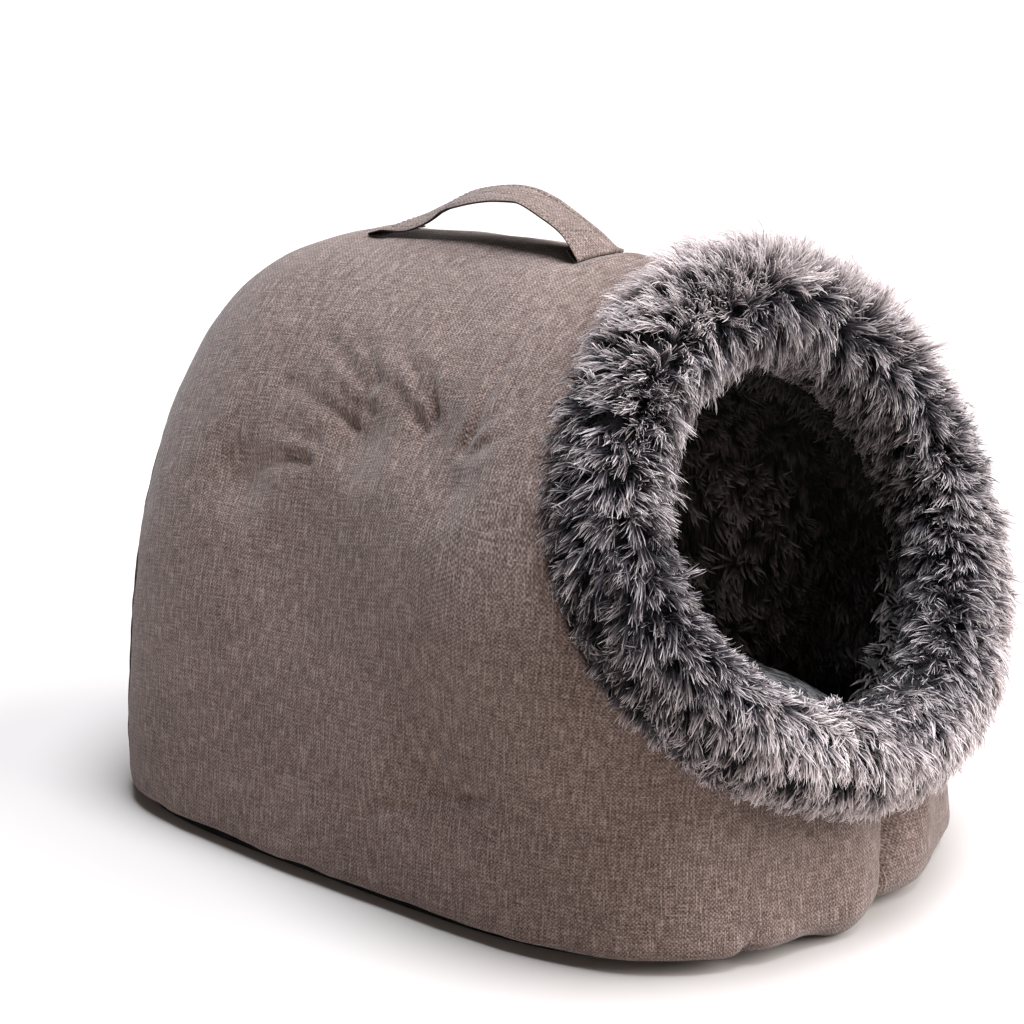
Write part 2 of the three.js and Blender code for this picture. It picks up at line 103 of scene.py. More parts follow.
def shell_level(p, inset=0.0):
    """Under 1 inside the padded shell and over 1 outside it. An inset face has no rolled foot."""
    x, y, z = p[..., 0], p[..., 1], p[..., 2]
    rear = np.maximum(y, 0) / BACK_REACH
    half = (HALF_WIDTH - inset) * (1 - BACK_TAPER * rear**2)
    rise = np.maximum(z - SPRING_HEIGHT, 0) / (shell_top(y, inset) - SPRING_HEIGHT)
    dip = np.maximum(SPRING_HEIGHT - z, 0) / FOOT_DEPTH * (inset == 0)
    arch = super_norm(x / half, rise, ARCH_ROUND)
    section = np.maximum(arch, super_norm(x / half, dip, FOOT_ROUND))
    front = np.maximum(-y - FRONT_START, 0) / (FRONT_REACH - inset - FRONT_START)
    rounded_rear = super_norm(section, rear, BACK_ROUND)
    loaf = np.maximum(rounded_rear, super_norm(section, front, FRONT_ROUND))
    slant = z * math.sin(SLANT_LEAN) - y * math.cos(SLANT_LEAN)
    return super_norm(loaf, np.maximum(slant, 0) / (SLANT_REACH - inset), SLANT_ROUND)


def leave_shell(start, direction, inset=0.0):
    """The points where lines from start, along their directions, leave the shell."""
    near = np.zeros(direction.shape[:-1])
    far = np.full(direction.shape[:-1], 2 * (BACK_REACH + HEIGHT))
    for _ in range(HALVINGS):
        middle = (near + far) / 2
        inside = shell_level(start + direction * middle[..., None], inset) < 1
        near = np.where(inside, middle, near)
        far = np.where(inside, far, middle)
    return start + direction * near[..., None]


def full_turn(count):
    return np.linspace(0, 2 * math.pi, count, endpoint=False)


def unit(vectors):
    return vectors / np.maximum(np.linalg.norm(vectors, axis=-1, keepdims=True), 1e-12)


def level_outline(z, count, inset=0.0):
    """A level outline round the shell from the middle of the front, and the way out at each point."""
    turn = full_turn(count)
    outward = np.stack([np.sin(turn), -np.cos(turn), np.zeros(count)], axis=-1)
    return leave_shell(np.array([0, 0, z]), outward, inset), outward


def ring_faces(rows, columns, joined):
    """Four-sided faces between closed rows of points. Joined, the last row meets the first."""
    row = np.arange(rows if joined else rows - 1)[:, None]
    column = np.arange(columns)[None, :]
    following = (column + 1) % columns
    below = ((row + 1) % rows) * columns
    here = row * columns
    corners = [here + column, here + following, below + following, below + column]
    return np.stack(np.broadcast_arrays(*corners), axis=-1).reshape(-1, 4)


def end_caps(rows, columns):
    last = (rows - 1) * columns
    return [list(range(columns - 1, -1, -1)), list(range(last, last + columns))]


def put_in_scene(name, data):
    made = bpy.data.objects.new(name, data)
    bpy.context.scene.collection.objects.link(made)
    return made


def sewn_piece(name, points, faces, material, weave, caps=()):
    """A mesh that rides on the bed. Weave is the place on the flat cloth of each point, or of each
    corner of the faces where the cloth meets itself in a seam."""
    mesh = bpy.data.meshes.new(name)
    mesh.from_pydata(np.reshape(points, (-1, 3)).tolist(), [], [*faces.tolist(), *caps])
    mesh.polygons.foreach_set("use_smooth", [True] * len(mesh.polygons))
    if len(weave) != faces.size:
        weave = weave[np.concatenate([faces.reshape(-1), *caps])]
    mesh.uv_layers.new(name="weave").data.foreach_set("uv", weave.ravel())
    mesh.materials.append(material)
    piece = put_in_scene(name, mesh)
    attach(piece, "root")
    return piece


def sewn_rows(name, rows, material, weave, joined=False):
    """A piece from closed rows of points. Its ends are joined to each other, or else capped."""
    shape = rows.shape[:2]
    caps = () if joined else end_caps(*shape)
    return sewn_piece(name, rows, ring_faces(*shape, joined), material, weave, caps)


def add_node(tree, kind, sockets, **settings):
    """A shader node whose sockets are set to a value, or linked where they are given a socket."""
    made = tree.nodes.new(kind)
    for key, value in settings.items():
        setattr(made, key, value)
    for key, value in sockets.items():
        if isinstance(value, bpy.types.NodeSocket):
            tree.links.new(value, made.inputs[key])
        else:
            made.inputs[key].default_value = value
    return made


def calculate(tree, operation, a, b=0.0):
    return add_node(tree, "ShaderNodeMath", {0: a, 1: b}, operation=operation).outputs[0]


def add_part(tree, value, other, weight):
    return calculate(tree, "ADD", value, calculate(tree, "MULTIPLY", other, weight))


def mix_colours(tree, share, a, b):
    colours = [c if isinstance(c, bpy.types.NodeSocket) else (*c, 1) for c in (a, b)]
    sockets = {0: share, 6: colours[0], 7: colours[1]}
    return add_node(tree, "ShaderNodeMix", sockets, data_type="RGBA").outputs[2]


def uneven(tree, place, size, detail=2.0, along=None):
    """Soft unevenness with features of a size in metres, drawn out to another size along V."""
    scale = (1 / size, 1 / (along or size), 1 / size)
    shrunk = add_node(tree, "ShaderNodeVectorMath", {0: place, 1: scale}, operation="MULTIPLY")
    sockets = {"Vector": shrunk.outputs[0], "Scale": 1.0, "Detail": detail}
    return add_node(tree, "ShaderNodeTexNoise", sockets).outputs["Fac"]


def between(tree, value, low, high, to_low=0.0, to_high=1.0):
    sockets = {0: value, 1: low, 2: high, 3: to_low, 4: to_high}
    return add_node(tree, "ShaderNodeMapRange", sockets, clamp=True).outputs[0]


def new_finish(name, roughness, sheen=0.0):
    material = bpy.data.materials.new(name)
    material.use_nodes = True
    shader = material.node_tree.nodes["Principled BSDF"]
    shader.inputs["Roughness"].default_value = roughness
    shader.inputs["Specular IOR Level"].default_value = 0.2
    shader.inputs["Sheen Weight"].default_value = sheen
    shader.inputs["Sheen Roughness"].default_value = 0.5
    return material, material.node_tree


def cloth_place(tree):
    return add_node(tree, "ShaderNodeUVMap", {}, uv_map="weave").outputs[0]


def colour_threads(material, colour, height, depth):
    """Gives a finish its colour, and raises its threads by a depth in metres."""
    tree = material.node_tree
    shader = tree.nodes["Principled BSDF"]
    tree.links.new(colour, shader.inputs["Base Color"])
    bump = add_node(tree, "ShaderNodeBump", {"Height": height, "Distance": depth, "Strength": 1.0})
    tree.links.new(bump.outputs[0], shader.inputs["Normal"])
    return material


def black_cloth_finish():
    material, tree = new_finish("black_cloth", roughness=0.85)
    place = cloth_place(tree)
    ribs = uneven(tree, place, 0.0006, along=0.0015)
    dust = between(tree, uneven(tree, place, 0.012, detail=4), 0.4, 0.7)
    colour = mix_colours(tree, dust, (0.006, 0.0055, 0.006), (0.022, 0.02, 0.019))
    return colour_threads(material, colour, ribs, 0.0003)


BLACK_CLOTH = black_cloth_finish()

foot, foot_outward = level_outline(BASE_SEAM_Z, BOARD_COLUMNS)
fore_share = smooth(-foot[:, 1] / FRONT_REACH)
board_inset = BOARD_SIDE_INSET + (BOARD_FRONT_INSET - BOARD_SIDE_INSET) * fore_share
board_outline = foot - foot_outward * board_inset[:, None]
board_rows = []
for z, tuck in BOARD_EDGE_ROWS:
    row = board_outline - foot_outward * tuck * BOARD_EDGE
    row[:, 2] = z * BOARD_EDGE
    board_rows.append(row)
board_points = np.stack([board_rows[0] * BOARD_MIDDLE, *board_rows, board_rows[-1] * BOARD_MIDDLE])
board_flat = board_points.reshape(-1, 3)[:, :2]
base_cloth = sewn_rows("base_cloth", board_points, BLACK_CLOTH, board_flat)
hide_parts("base_panel")

# The wrap: one band of taupe linen-look melange cloth over soft foam. It is sewn into a shell over
# the sides, the roof and the front, and its two ends meet in a pulled-in seam under the collar.
# Soft troughs stay in the padding of the side at -X, with short creases that fan out from them.
HUB = np.array([0, 0, 0.42 * HEIGHT])
BACK_SEAM_Y = 0.164
WALL = 0.024

COLLAR_Y = -0.136
COLLAR_Z = 0.1627
COLLAR_HALF_WIDTH = 0.1152
COLLAR_HALF_HEIGHT = 0.0962
COLLAR_LEAN = math.radians(27.3)
COLLAR_ROUND = 1.87
COLLAR_SIDE_BEND = 0.0105
ROLL_RADIUS = 0.0225
ROLL_CLEAR = ROLL_RADIUS + 0.0009
OUTER_TURN = math.radians(45)
INNER_TURN = math.radians(115)
RIM_REACH_BELOW = math.radians(22)
RIM_REACH_ABOVE = math.radians(80)
MOUTH_SHARE_OF_BASE = 0.45

WRAP_BASE_COLUMNS = 150
WRAP_ARCH_COLUMNS = 104
WRAP_ROWS = 140
WRAP_INNER_ROWS = 9
WRAP_RIM_ROWS = 6


def roll_centre(angle):
    c, s = np.cos(angle), np.sin(angle)
    k = 1 / super_norm(c, s, COLLAR_ROUND)
    up = s * k * COLLAR_HALF_HEIGHT
    rearward = COLLAR_SIDE_BEND * (c * k) ** 2
    y = COLLAR_Y + up * math.sin(COLLAR_LEAN) + rearward * math.cos(COLLAR_LEAN)
    z = COLLAR_Z + up * math.cos(COLLAR_LEAN) - rearward * math.sin(COLLAR_LEAN)
    return np.stack([c * k * COLLAR_HALF_WIDTH, y, z], axis=-1)


def roll_along(angle):
    return unit(roll_centre(angle + 0.01) - roll_centre(angle - 0.01))


def beside_roll(angle, turn, radius):
    """A point beside the collar's centre line: turn 0 faces away from the mouth, pi / 2 the rear."""
    angle, turn, radius = np.broadcast_arrays(angle, turn, radius)
    along = roll_along(angle)
    rearward = np.array([0, math.cos(COLLAR_LEAN), -math.sin(COLLAR_LEAN)])
    outward = unit(np.cross(rearward, along))
    back = np.cross(along, outward)
    across = outward * np.cos(turn)[..., None] + back * np.sin(turn)[..., None]
    return roll_centre(angle) + across * radius[..., None]


def run_along(points):
    """How far along its line each point lies, from 0 at the first."""
    steps = np.linalg.norm(np.diff(points, axis=0), axis=1)
    return np.concatenate([[0], np.cumsum(steps)])


def points_at(wanted, lengths, points):
    return np.stack([np.interp(wanted, lengths, points[:, k]) for k in range(3)], axis=-1)


def along_line(points, shares):
    lengths = run_along(points)
    return points_at(np.asarray(shares) * lengths[-1], lengths, points)


def crowded(count, power):
    """Shares from 0 to 1 that lie closer together towards 1."""
    return 1 - (1 - np.linspace(0, 1, count)) ** power


def shell_columns(base_columns, arch_columns, inset, rim_turn):
    """Lines round the shell, each from the mouth's rim to the base edge or to the back arch."""
    half = base_columns + arch_columns
    column = np.arange(2 * half)
    side = np.where(column <= half, -1, 1)
    index = np.where(column <= half, column, 2 * half - column)
    even = np.minimum(index / base_columns, 1)
    base = 0.3 * even + 0.7 * smooth(even)
    arch = np.maximum((index - base_columns) / arch_columns, 0) ** 1.25
    mouth = MOUTH_SHARE_OF_BASE * base + (1 - MOUTH_SHARE_OF_BASE) * arch
    angle = -math.pi / 2 + side * math.pi * mouth
    turn = np.linspace(0, math.pi, 481)
    level = np.stack([-np.sin(turn), -np.cos(turn), 0 * turn], axis=-1)
    upright = np.stack([-np.cos(turn / 2), 0 * turn, np.sin(turn / 2)], axis=-1)
    base_line = leave_shell(np.array([0, 0, BASE_SEAM_Z]), level, inset)
    arch_line = leave_shell(np.array([0, BACK_SEAM_Y, BASE_SEAM_Z]), upright, inset)
    base_line = np.concatenate([base_line[base_line[:, 1] < BACK_SEAM_Y], arch_line[:1]])
    on_base = (index <= base_columns)[:, None]
    end = np.where(on_base, along_line(base_line, base), along_line(arch_line, arch))
    end[:, 0] = np.abs(end[:, 0]) * side
    return angle, beside_roll(angle, rim_turn, ROLL_CLEAR), end


def shell_rows(columns, shares, inset=0.0):
    """Points of one skin, in rows from the mouth's rim to the outer edge. Near the mouth it leaves
    the shell's own shape and runs straight to the roll."""
    angle, start, end = columns
    to_start, to_end = unit(start - HUB), unit(end - HUB)
    miss = start - leave_shell(HUB, to_start, inset)
    turn = np.arccos(np.clip(np.sum(to_start * to_end, axis=-1), -1, 1))
    up_mouth = smooth((1 + np.sin(angle)) / 2)
    reach = (RIM_REACH_BELOW + (RIM_REACH_ABOVE - RIM_REACH_BELOW) * up_mouth) / turn
    share = np.asarray(shares)[:, None]
    near_start = np.sin((1 - share) * turn)[..., None]
    near_end = np.sin(share * turn)[..., None]
    direction = unit(to_start * near_start + to_end * near_end)
    hold = smooth(1 - share / reach)[..., None]
    rows = leave_shell(HUB, direction, inset) + miss * hold
    rows[-1] = end
    return rows


def shell_outward(p, inset=0.0):
    step = 0.0005
    axes = step * np.eye(3)
    slope = [shell_level(p + axis, inset) - shell_level(p - axis, inset) for axis in axes]
    return unit(np.stack(slope, axis=-1))


def sunk(skin, depth, inset=0.0):
    """A skin moved inwards by a depth. Its outer edge stays in the plane of its seam, and its middle
    line stays in the middle."""
    inward = -shell_outward(skin, inset)
    at_back = skin[-1, :, 1] > BACK_SEAM_Y - 1e-4
    inward[-1, at_back, 1] = 0
    inward[-1, ~at_back, 2] = 0
    inward[..., 0] = np.where(np.abs(skin[..., 0]) < 1e-9, 0, inward[..., 0])
    return skin + inward * depth[..., None]


# Troughs pressed in the side at -X: the place along Y and Z, how deep, and how far each reaches.
TROUGHS = (
    {"y": 0.090, "z": 0.168, "depth": 0.0060, "reach_y": 0.016, "reach_z": 0.015},
    {"y": 0.024, "z": 0.197, "depth": 0.0065, "reach_y": 0.018, "reach_z": 0.015},
    {"y": -0.018, "z": 0.202, "depth": 0.0065, "reach_y": 0.017, "reach_z": 0.015},
    {"y": -0.040, "z": 0.190, "depth": 0.0055, "reach_y": 0.015, "reach_z": 0.016},
    {"y": -0.044, "z": 0.060, "depth": 0.0050, "reach_y": 0.022, "reach_z": 0.016},
    {"y": 0.035, "z": 0.140, "depth": 0.0050, "reach_y": 0.065, "reach_z": 0.050},
)
# Creases beside them, from the trough outwards: (y, z) of each end, half width and depth in mm.
CREASES = (
    ((30, 199), (76, 208), 3.8, 3.4),
    ((21, 207), (52, 213), 3.2, 2.4),
    ((27, 213), (63, 228), 4.0, 3.2),
    ((23, 217), (47, 232), 3.6, 2.6),
    ((-12, 205), (24, 218), 3.8, 3.2),
    ((-3, 217), (15, 228), 3.2, 2.2),
    ((-14, 212), (2, 226), 3.4, 2.6),
    ((-17, 208), (-7, 225), 3.2, 2.0),
    ((-38, 201), (-42, 231), 3.6, 3.2),
    ((-42, 207), (-56, 221), 3.2, 2.2),
    ((-43, 201), (-66, 212), 3.6, 2.6),
    ((50, 181), (82, 174), 3.6, 3.0),
    ((47, 190), (72, 193), 3.2, 1.9),
    ((-58, 62), (-86, 75), 4.2, 2.2),
    ((-30, 50), (-6, 41), 4.4, 2.2),
)
# Gathers along each seam: their size along it, their reach from it, and a seed.
BACK_SEAM_PUCKERS = (0.011, 0.009, 1.7)
BASE_SEAM_PUCKERS = (0.019, 0.016, 4.1)
FRONT_SEAM_PUCKERS = (0.009, 0.012, 2.9)
SEAM_DIP = 0.0022
SEAM_DIP_REACH = 0.0034
FRONT_SEAM_DEPTH = 0.009
FRONT_SEAM_REACH = 0.0065
FRONT_SEAM_FOOT_X = -0.004
FRONT_SEAM_SLANT = 0.028
FRONT_NOSE = 0.0055
FRONT_LOBE_SWELL = 0.0042
STRAP_LIP = 0.0019
STRAP_DIMPLE = 0.0010
FOOT_PLEAT = 0.0035
FOOT_PLEAT_X = -0.079
FLOOR_CLEAR = 0.0006


def beside_line(p, start, end):
    """How far along a line across the side each point lies, as a share, how far aside, and the
    line's length. The line's start and end are (y, z) in mm."""
    along = (np.array(end) - start) / 1000
    gone = p[..., 1:] - np.array(start) / 1000
    length = math.hypot(*along)
    aside = (gone[..., 0] * along[1] - gone[..., 1] * along[0]) / length
    return gone @ along / length**2, aside, length


def crease_depth(p):
    """Each crease is a trough with a soft lip on both sides, and it dies out away from its root."""
    total = np.zeros(p.shape[:-1])
    for start, end, width, depth in CREASES:
        share, aside, length = beside_line(p, start, end)
        held = np.clip(share, 0, 1)
        across = aside - 0.06 * length * np.sin(math.pi * held) * math.sin(start[0] + end[1])
        beyond = (share - held) * length
        away = (across**2 + beyond**2) / (width / 1000) ** 2
        fade = 0.35 + 0.65 * smooth(1 - share)
        total += depth / 1000 * fade * (1 - 0.7 * away) * np.exp(-0.9 * away)
    return total


def pressed_depth(p):
    y, z = p[..., 1], p[..., 2]
    total = crease_depth(p)
    for trough in TROUGHS:
        pressed = hill(y, trough["y"], trough["reach_y"]) * hill(z, trough["z"], trough["reach_z"])
        total += trough["depth"] * pressed
    return np.where(p[..., 0] < 0, total, 0)


def noise_at(points, size, seed=0.0):
    """Smooth unevenness from -1 to 1 at each point, with features of about a size in metres."""
    shifted = (np.reshape(points, (-1, 3)) / size + seed).tolist()
    values = np.array([smooth_noise.noise(p) for p in shifted])
    return values.reshape(np.shape(points)[:-1])


def seam_puckers(distance, along, size, reach, seed):
    """Small gathers square to a seam, deepest beside it. Along is the place on the seam."""
    wave = noise_at(np.stack([along, 0 * along, 0 * along + seed], axis=-1), size)
    wave += 0.5 * noise_at(np.stack([along, 0 * along, 0 * along - seed], axis=-1), size / 2)
    return wave * np.exp(-distance / reach)


def wrap_depth(rows):
    """How far the cloth lies under the plain shell, at each of its outer points."""
    x, y, z = rows[..., 0], rows[..., 1], rows[..., 2]
    steps = np.linalg.norm(np.diff(rows, axis=0), axis=-1)
    to_edge = np.concatenate([np.cumsum(steps[::-1], axis=0)[::-1], np.zeros((1, rows.shape[1]))])
    depth = pressed_depth(rows) + SEAM_DIP * np.exp(-to_edge / SEAM_DIP_REACH)
    under_mouth = (y < 0) & (z < HUB[2])
    seam = FRONT_SEAM_DEPTH * np.exp(-np.abs(x) / FRONT_SEAM_REACH) * (0.45 + 0.55 * smooth(z / 0.04))
    seam -= FRONT_NOSE * hill(x, FRONT_SEAM_FOOT_X, 0.028) * smooth(1 - z / 0.05)
    seam -= FRONT_LOBE_SWELL * hill(np.abs(x), 0.03, 0.017)
    depth += np.where(under_mouth, seam, 0)
    ends_at_back = rows[-1, :, 1] > BACK_SEAM_Y - 1e-5
    edge_line = run_along(rows[-1])
    edge_line = edge_line + 0 * to_edge
    back = seam_puckers(to_edge, edge_line, *BACK_SEAM_PUCKERS)
    base = seam_puckers(to_edge, edge_line, *BASE_SEAM_PUCKERS)
    depth += np.where(ends_at_back, 0.0007 * back, 0.0012 * base)
    front = seam_puckers(np.abs(x), z, *FRONT_SEAM_PUCKERS)
    depth += np.where(under_mouth, 0.0012 * front, 0)
    pleat = hill(x, FOOT_PLEAT_X, 0.0032) * hill(np.maximum(z, 0.008), 0.008, 0.008)
    depth += FOOT_PLEAT * pleat * (y < -0.1)
    on_top = hill(x, 0, 0.021, power=4) * (z > 0.2)
    lip = hill(y, -0.0335, 0.0055) + 0.8 * hill(y, 0.1, 0.005)
    dimple = hill(y, -0.021, 0.0075) + hill(y, 0.089, 0.007)
    depth += on_top * (STRAP_DIMPLE * dimple - STRAP_LIP * lip)
    depth += 0.0011 * noise_at(rows, 0.055, 3.0) + 0.0006 * noise_at(rows, 0.024, 7.0)
    return depth


def wrap_points():
    columns = shell_columns(WRAP_BASE_COLUMNS, WRAP_ARCH_COLUMNS, 0.0, OUTER_TURN)
    skin = shell_rows(columns, crowded(WRAP_ROWS, 1.3))
    outer = sunk(skin, wrap_depth(skin) * smooth(np.arange(WRAP_ROWS) / WRAP_RIM_ROWS)[:, None])
    low_front = smooth((0.085 - skin[..., 2]) / 0.03) * (skin[..., 1] < 0)
    seam_aside = FRONT_SEAM_FOOT_X + FRONT_SEAM_SLANT * smooth(skin[..., 2] / 0.065)
    outer[..., 0] += seam_aside * low_front * hill(skin[..., 0], 0, 0.036)
    outer[..., 2] = np.maximum(outer[..., 2], FLOOR_CLEAR)
    inner_columns = shell_columns(WRAP_BASE_COLUMNS, WRAP_ARCH_COLUMNS, WALL, INNER_TURN)
    inner = shell_rows(inner_columns, crowded(WRAP_INNER_ROWS + 1, 1.5), WALL)
    turns = INNER_TURN + (OUTER_TURN - INNER_TURN) * np.array([1, 2]) / 3
    rim = beside_roll(columns[0][None, :], turns[:, None], ROLL_CLEAR)
    return np.concatenate([outer, inner[::-1], rim])


def girth_length(lean):
    """The length over the arch from its foot at +X, to a lean of 0 at that foot and pi at the other."""
    turn = np.linspace(0, math.pi, 400)
    k = 1 / super_norm(np.cos(turn), np.sin(turn), ARCH_ROUND)
    across, rise = HALF_WIDTH * np.cos(turn) * k, (HEIGHT - SPRING_HEIGHT) * np.sin(turn) * k
    arch = np.stack([across, rise], axis=-1)
    return np.interp(lean, turn, SPRING_HEIGHT + run_along(arch))


def front_length(across, fore, half):
    """The length round the front from where it starts to round, for a half width at that height."""
    turn = np.linspace(0, math.pi / 2, 200)
    k = 1 / super_norm(np.cos(turn), np.sin(turn), FRONT_ROUND)
    depth = FRONT_REACH - FRONT_START
    wanted = np.arctan2(fore, across)
    halves = np.linspace(0.02, HALF_WIDTH, 14)
    table = []
    for width in halves:
        curve = np.stack([width * np.cos(turn) * k, depth * np.sin(turn) * k], axis=-1)
        table.append(np.interp(wanted, turn, run_along(curve)))
    place = np.clip((half - halves[0]) / (halves[1] - halves[0]), 0, len(halves) - 1.001)
    low = place.astype(int)
    table = np.stack(table)
    picked = np.take_along_axis(table, low[None], 0)[0]
    following = np.take_along_axis(table, low[None] + 1, 0)[0]
    return picked + (following - picked) * (place - low)


def shell_weave(points, faces):
    """Where each corner of a face lies on the flat cloth: along the bed, and round its girth."""
    corners = points.reshape(-1, 3)[faces.reshape(-1)]
    at_plus_x = np.repeat(points.reshape(-1, 3)[faces].mean(axis=1)[:, 0] > 0, faces.shape[1])
    x, y, z = corners.T
    rise = np.maximum(z - SPRING_HEIGHT, 0) / (shell_top(y) - SPRING_HEIGHT)
    across = np.minimum(np.abs(x) / HALF_WIDTH, 1)
    fore = np.clip((-y - FRONT_START) / (FRONT_REACH - FRONT_START), 0, 1)
    level_across = np.maximum(1 - np.minimum(rise, 1) ** ARCH_ROUND, 0) ** (1 / ARCH_ROUND)
    low_front = smooth(fore / 0.25) * smooth((0.8 - rise) / 0.3)
    over = girth_length(np.arctan2(rise, across))
    level = girth_length(np.arctan2(rise, level_across))
    girth = over + (level - over) * low_front - np.maximum(SPRING_HEIGHT - z, 0)
    half = np.maximum(level_across * HALF_WIDTH, 0.02)
    round_front = FRONT_START + front_length(np.abs(x) / half, fore, half)
    along = np.where(y > -FRONT_START, -y, -y + (round_front + y) * low_front)
    total = 2 * girth_length(math.pi / 2)
    return np.stack([along, np.where(at_plus_x, total - girth, girth)], axis=-1)


LINEN_PIT = (0.036, 0.021, 0.0158)
LINEN_MIDDLE = (0.136, 0.089, 0.074)
LINEN_LIGHT = (0.312, 0.236, 0.208)
LINEN_PITCH = 0.0018
LINEN_WANDER = 0.0005


def linen_finish():
    """Plain weave: a pale net with dark pits, and thick pale slubs that run mostly round the girth."""
    material, tree = new_finish("melange_linen", roughness=0.9, sheen=0.2)
    place = cloth_place(tree)
    wander = add_node(tree, "ShaderNodeTexNoise", {"Vector": place, "Scale": 330.0, "Detail": 1.0})
    turns = 2 * math.pi / LINEN_PITCH
    crooked = add_node(
        tree,
        "ShaderNodeVectorMath",
        {0: wander.outputs["Color"], 1: 3 * (LINEN_WANDER * 2,), 2: place},
        operation="MULTIPLY_ADD",
    )
    crossing = add_node(tree, "ShaderNodeSeparateXYZ", {0: crooked.outputs[0]})
    lengthwise = calculate(tree, "COSINE", calculate(tree, "MULTIPLY", crossing.outputs[0], turns))
    girthwise = calculate(tree, "COSINE", calculate(tree, "MULTIPLY", crossing.outputs[1], turns))
    net = calculate(tree, "MULTIPLY", lengthwise, girthwise)
    yarn = uneven(tree, place, 0.0010, detail=1, along=0.009)
    weft = uneven(tree, place, 0.007, detail=1, along=0.0010)
    fleck = uneven(tree, place, 0.0008, detail=2)
    drift = between(tree, uneven(tree, place, 0.05, detail=4), 0.3, 0.7, -0.03, 0.03)
    girth_slub = between(tree, uneven(tree, place, 0.0009, detail=0, along=0.010), 0.62, 0.72)
    length_slub = between(tree, uneven(tree, place, 0.009, detail=0, along=0.0009), 0.65, 0.75)
    slubs = calculate(tree, "MAXIMUM", girth_slub, calculate(tree, "MULTIPLY", length_slub, 0.7))
    value = drift
    for part, weight in ((yarn, 0.42), (weft, 0.36), (fleck, 0.62), (net, -0.115), (slubs, 0.11)):
        value = add_part(tree, value, part, weight)
    lower = mix_colours(tree, between(tree, value, 0.48, 0.71), LINEN_PIT, LINEN_MIDDLE)
    colour = mix_colours(tree, between(tree, value, 0.71, 0.96), lower, LINEN_LIGHT)
    height = add_part(tree, value, slubs, 0.3)
    return colour_threads(material, colour, height, 0.0006)


LINEN = linen_finish()

wrap_grid = wrap_points()
wrap_faces = ring_faces(len(wrap_grid), wrap_grid.shape[1], joined=True)
wrap_flat = shell_weave(wrap_grid, wrap_faces)
wrap_cloth = sewn_piece("wrap_cloth", wrap_grid, wrap_faces, LINEN, wrap_flat)
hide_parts("wrap_panel")
wrap_tree = BVHTree.FromPolygons(wrap_grid.reshape(-1, 3).tolist(), wrap_faces.tolist())

# The back panel: the same padded cloth, cut to the arch, swelling to the rear from the seam that
# joins it to the wrap. It closes the shell behind.
BACK_ARCH_COLUMNS = 130
BACK_BASE_COLUMNS = 90
BACK_PUCKERS = (0.012, 0.010, 5.3)
BACK_SWELL = (0.996, 0.985, 0.97, 0.95, 0.925, 0.89, 0.85, 0.8, 0.74, 0.67, *np.arange(6, 0, -1) / 10)


def close_across_base(arch, count):
    """A closed outline: the arch from its corner at -X to the one at +X, then back along the base."""
    share = np.linspace(0, 1, count + 1)[1:-1, None]
    return np.concatenate([arch, arch[-1] * (1 - share) + arch[0] * share])


def arch_outline(inset, count):
    """The outline of the shell at the back seam, from its corner at -X over the arch."""
    angle = np.linspace(0, math.pi, count)
    upright = np.stack([-np.cos(angle), 0 * angle, np.sin(angle)], axis=-1)
    line = leave_shell(np.array([0, BACK_SEAM_Y, BASE_SEAM_Z]), upright, inset)
    return along_line(line, np.linspace(0, 1, count))


back_face = BACK_SEAM_Y + SEAM_GAP
back_outline = close_across_base(arch_outline(0.0, 2 * BACK_ARCH_COLUMNS), BACK_BASE_COLUMNS)
back_outline[:, 1] = back_face
back_hub = np.array([0, back_face, HUB[2]])
back_on_base = back_outline[:, 2] < BASE_SEAM_Z + 1e-4
back_inward = unit(back_hub - back_outline)
back_inward[back_on_base, 2] = 0
back_rows = [back_outline + back_inward * SEAM_DIP]
rear = np.broadcast_to(np.array([0.0, 1.0, 0.0]), back_outline.shape)
for share in BACK_SWELL:
    start = back_hub + (back_outline - back_hub) * share
    lift = smooth((share - 0.9) / 0.085)
    start[back_on_base, 2] += (BASE_SEAM_Z - start[back_on_base, 2]) * lift
    back_rows.append(leave_shell(start, rear))
back_rows = np.stack(back_rows)
back_line = np.cumsum(np.linalg.norm(np.roll(back_outline, -1, 0) - back_outline, axis=1))
back_to_edge = np.linalg.norm(back_rows - back_outline, axis=-1)
back_pucker = seam_puckers(back_to_edge, back_line + 0 * back_to_edge, *BACK_PUCKERS)
back_slack = 0.0012 * noise_at(back_rows, 0.06, 5.0) + 0.0006 * noise_at(back_rows, 0.025, 9.0)
back_rows[1:, :, 1] -= (0.0009 * back_pucker + back_slack)[1:] + 0.0008
back_flat = back_rows.reshape(-1, 3)[:, [0, 2]]
back_cloth = sewn_rows("back_cloth", back_rows, LINEN, back_flat)
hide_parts("back_panel")

# The carry strap: a flat strap of the same cloth on a thin core, its long edges folded in and
# stitched. Both ends are turned under and sewn down to the ridge, and the middle arches up.
STRAP_FRONT = -0.027
STRAP_REAR = 0.094
STRAP_HALF_WIDTH = 0.0165
STRAP_LAYER = 0.0016
STRAP_FOLD_GAP = 0.0005
STRAP_TURNED_UNDER = 0.0052
STRAP_PRESSED = 0.5
STRAP_PLEATS = ((-0.2, 0.0009), (0.28, 0.0013), (0.66, 0.0011))
STRAP_COLUMNS = 25
STRAP_FINER = 6
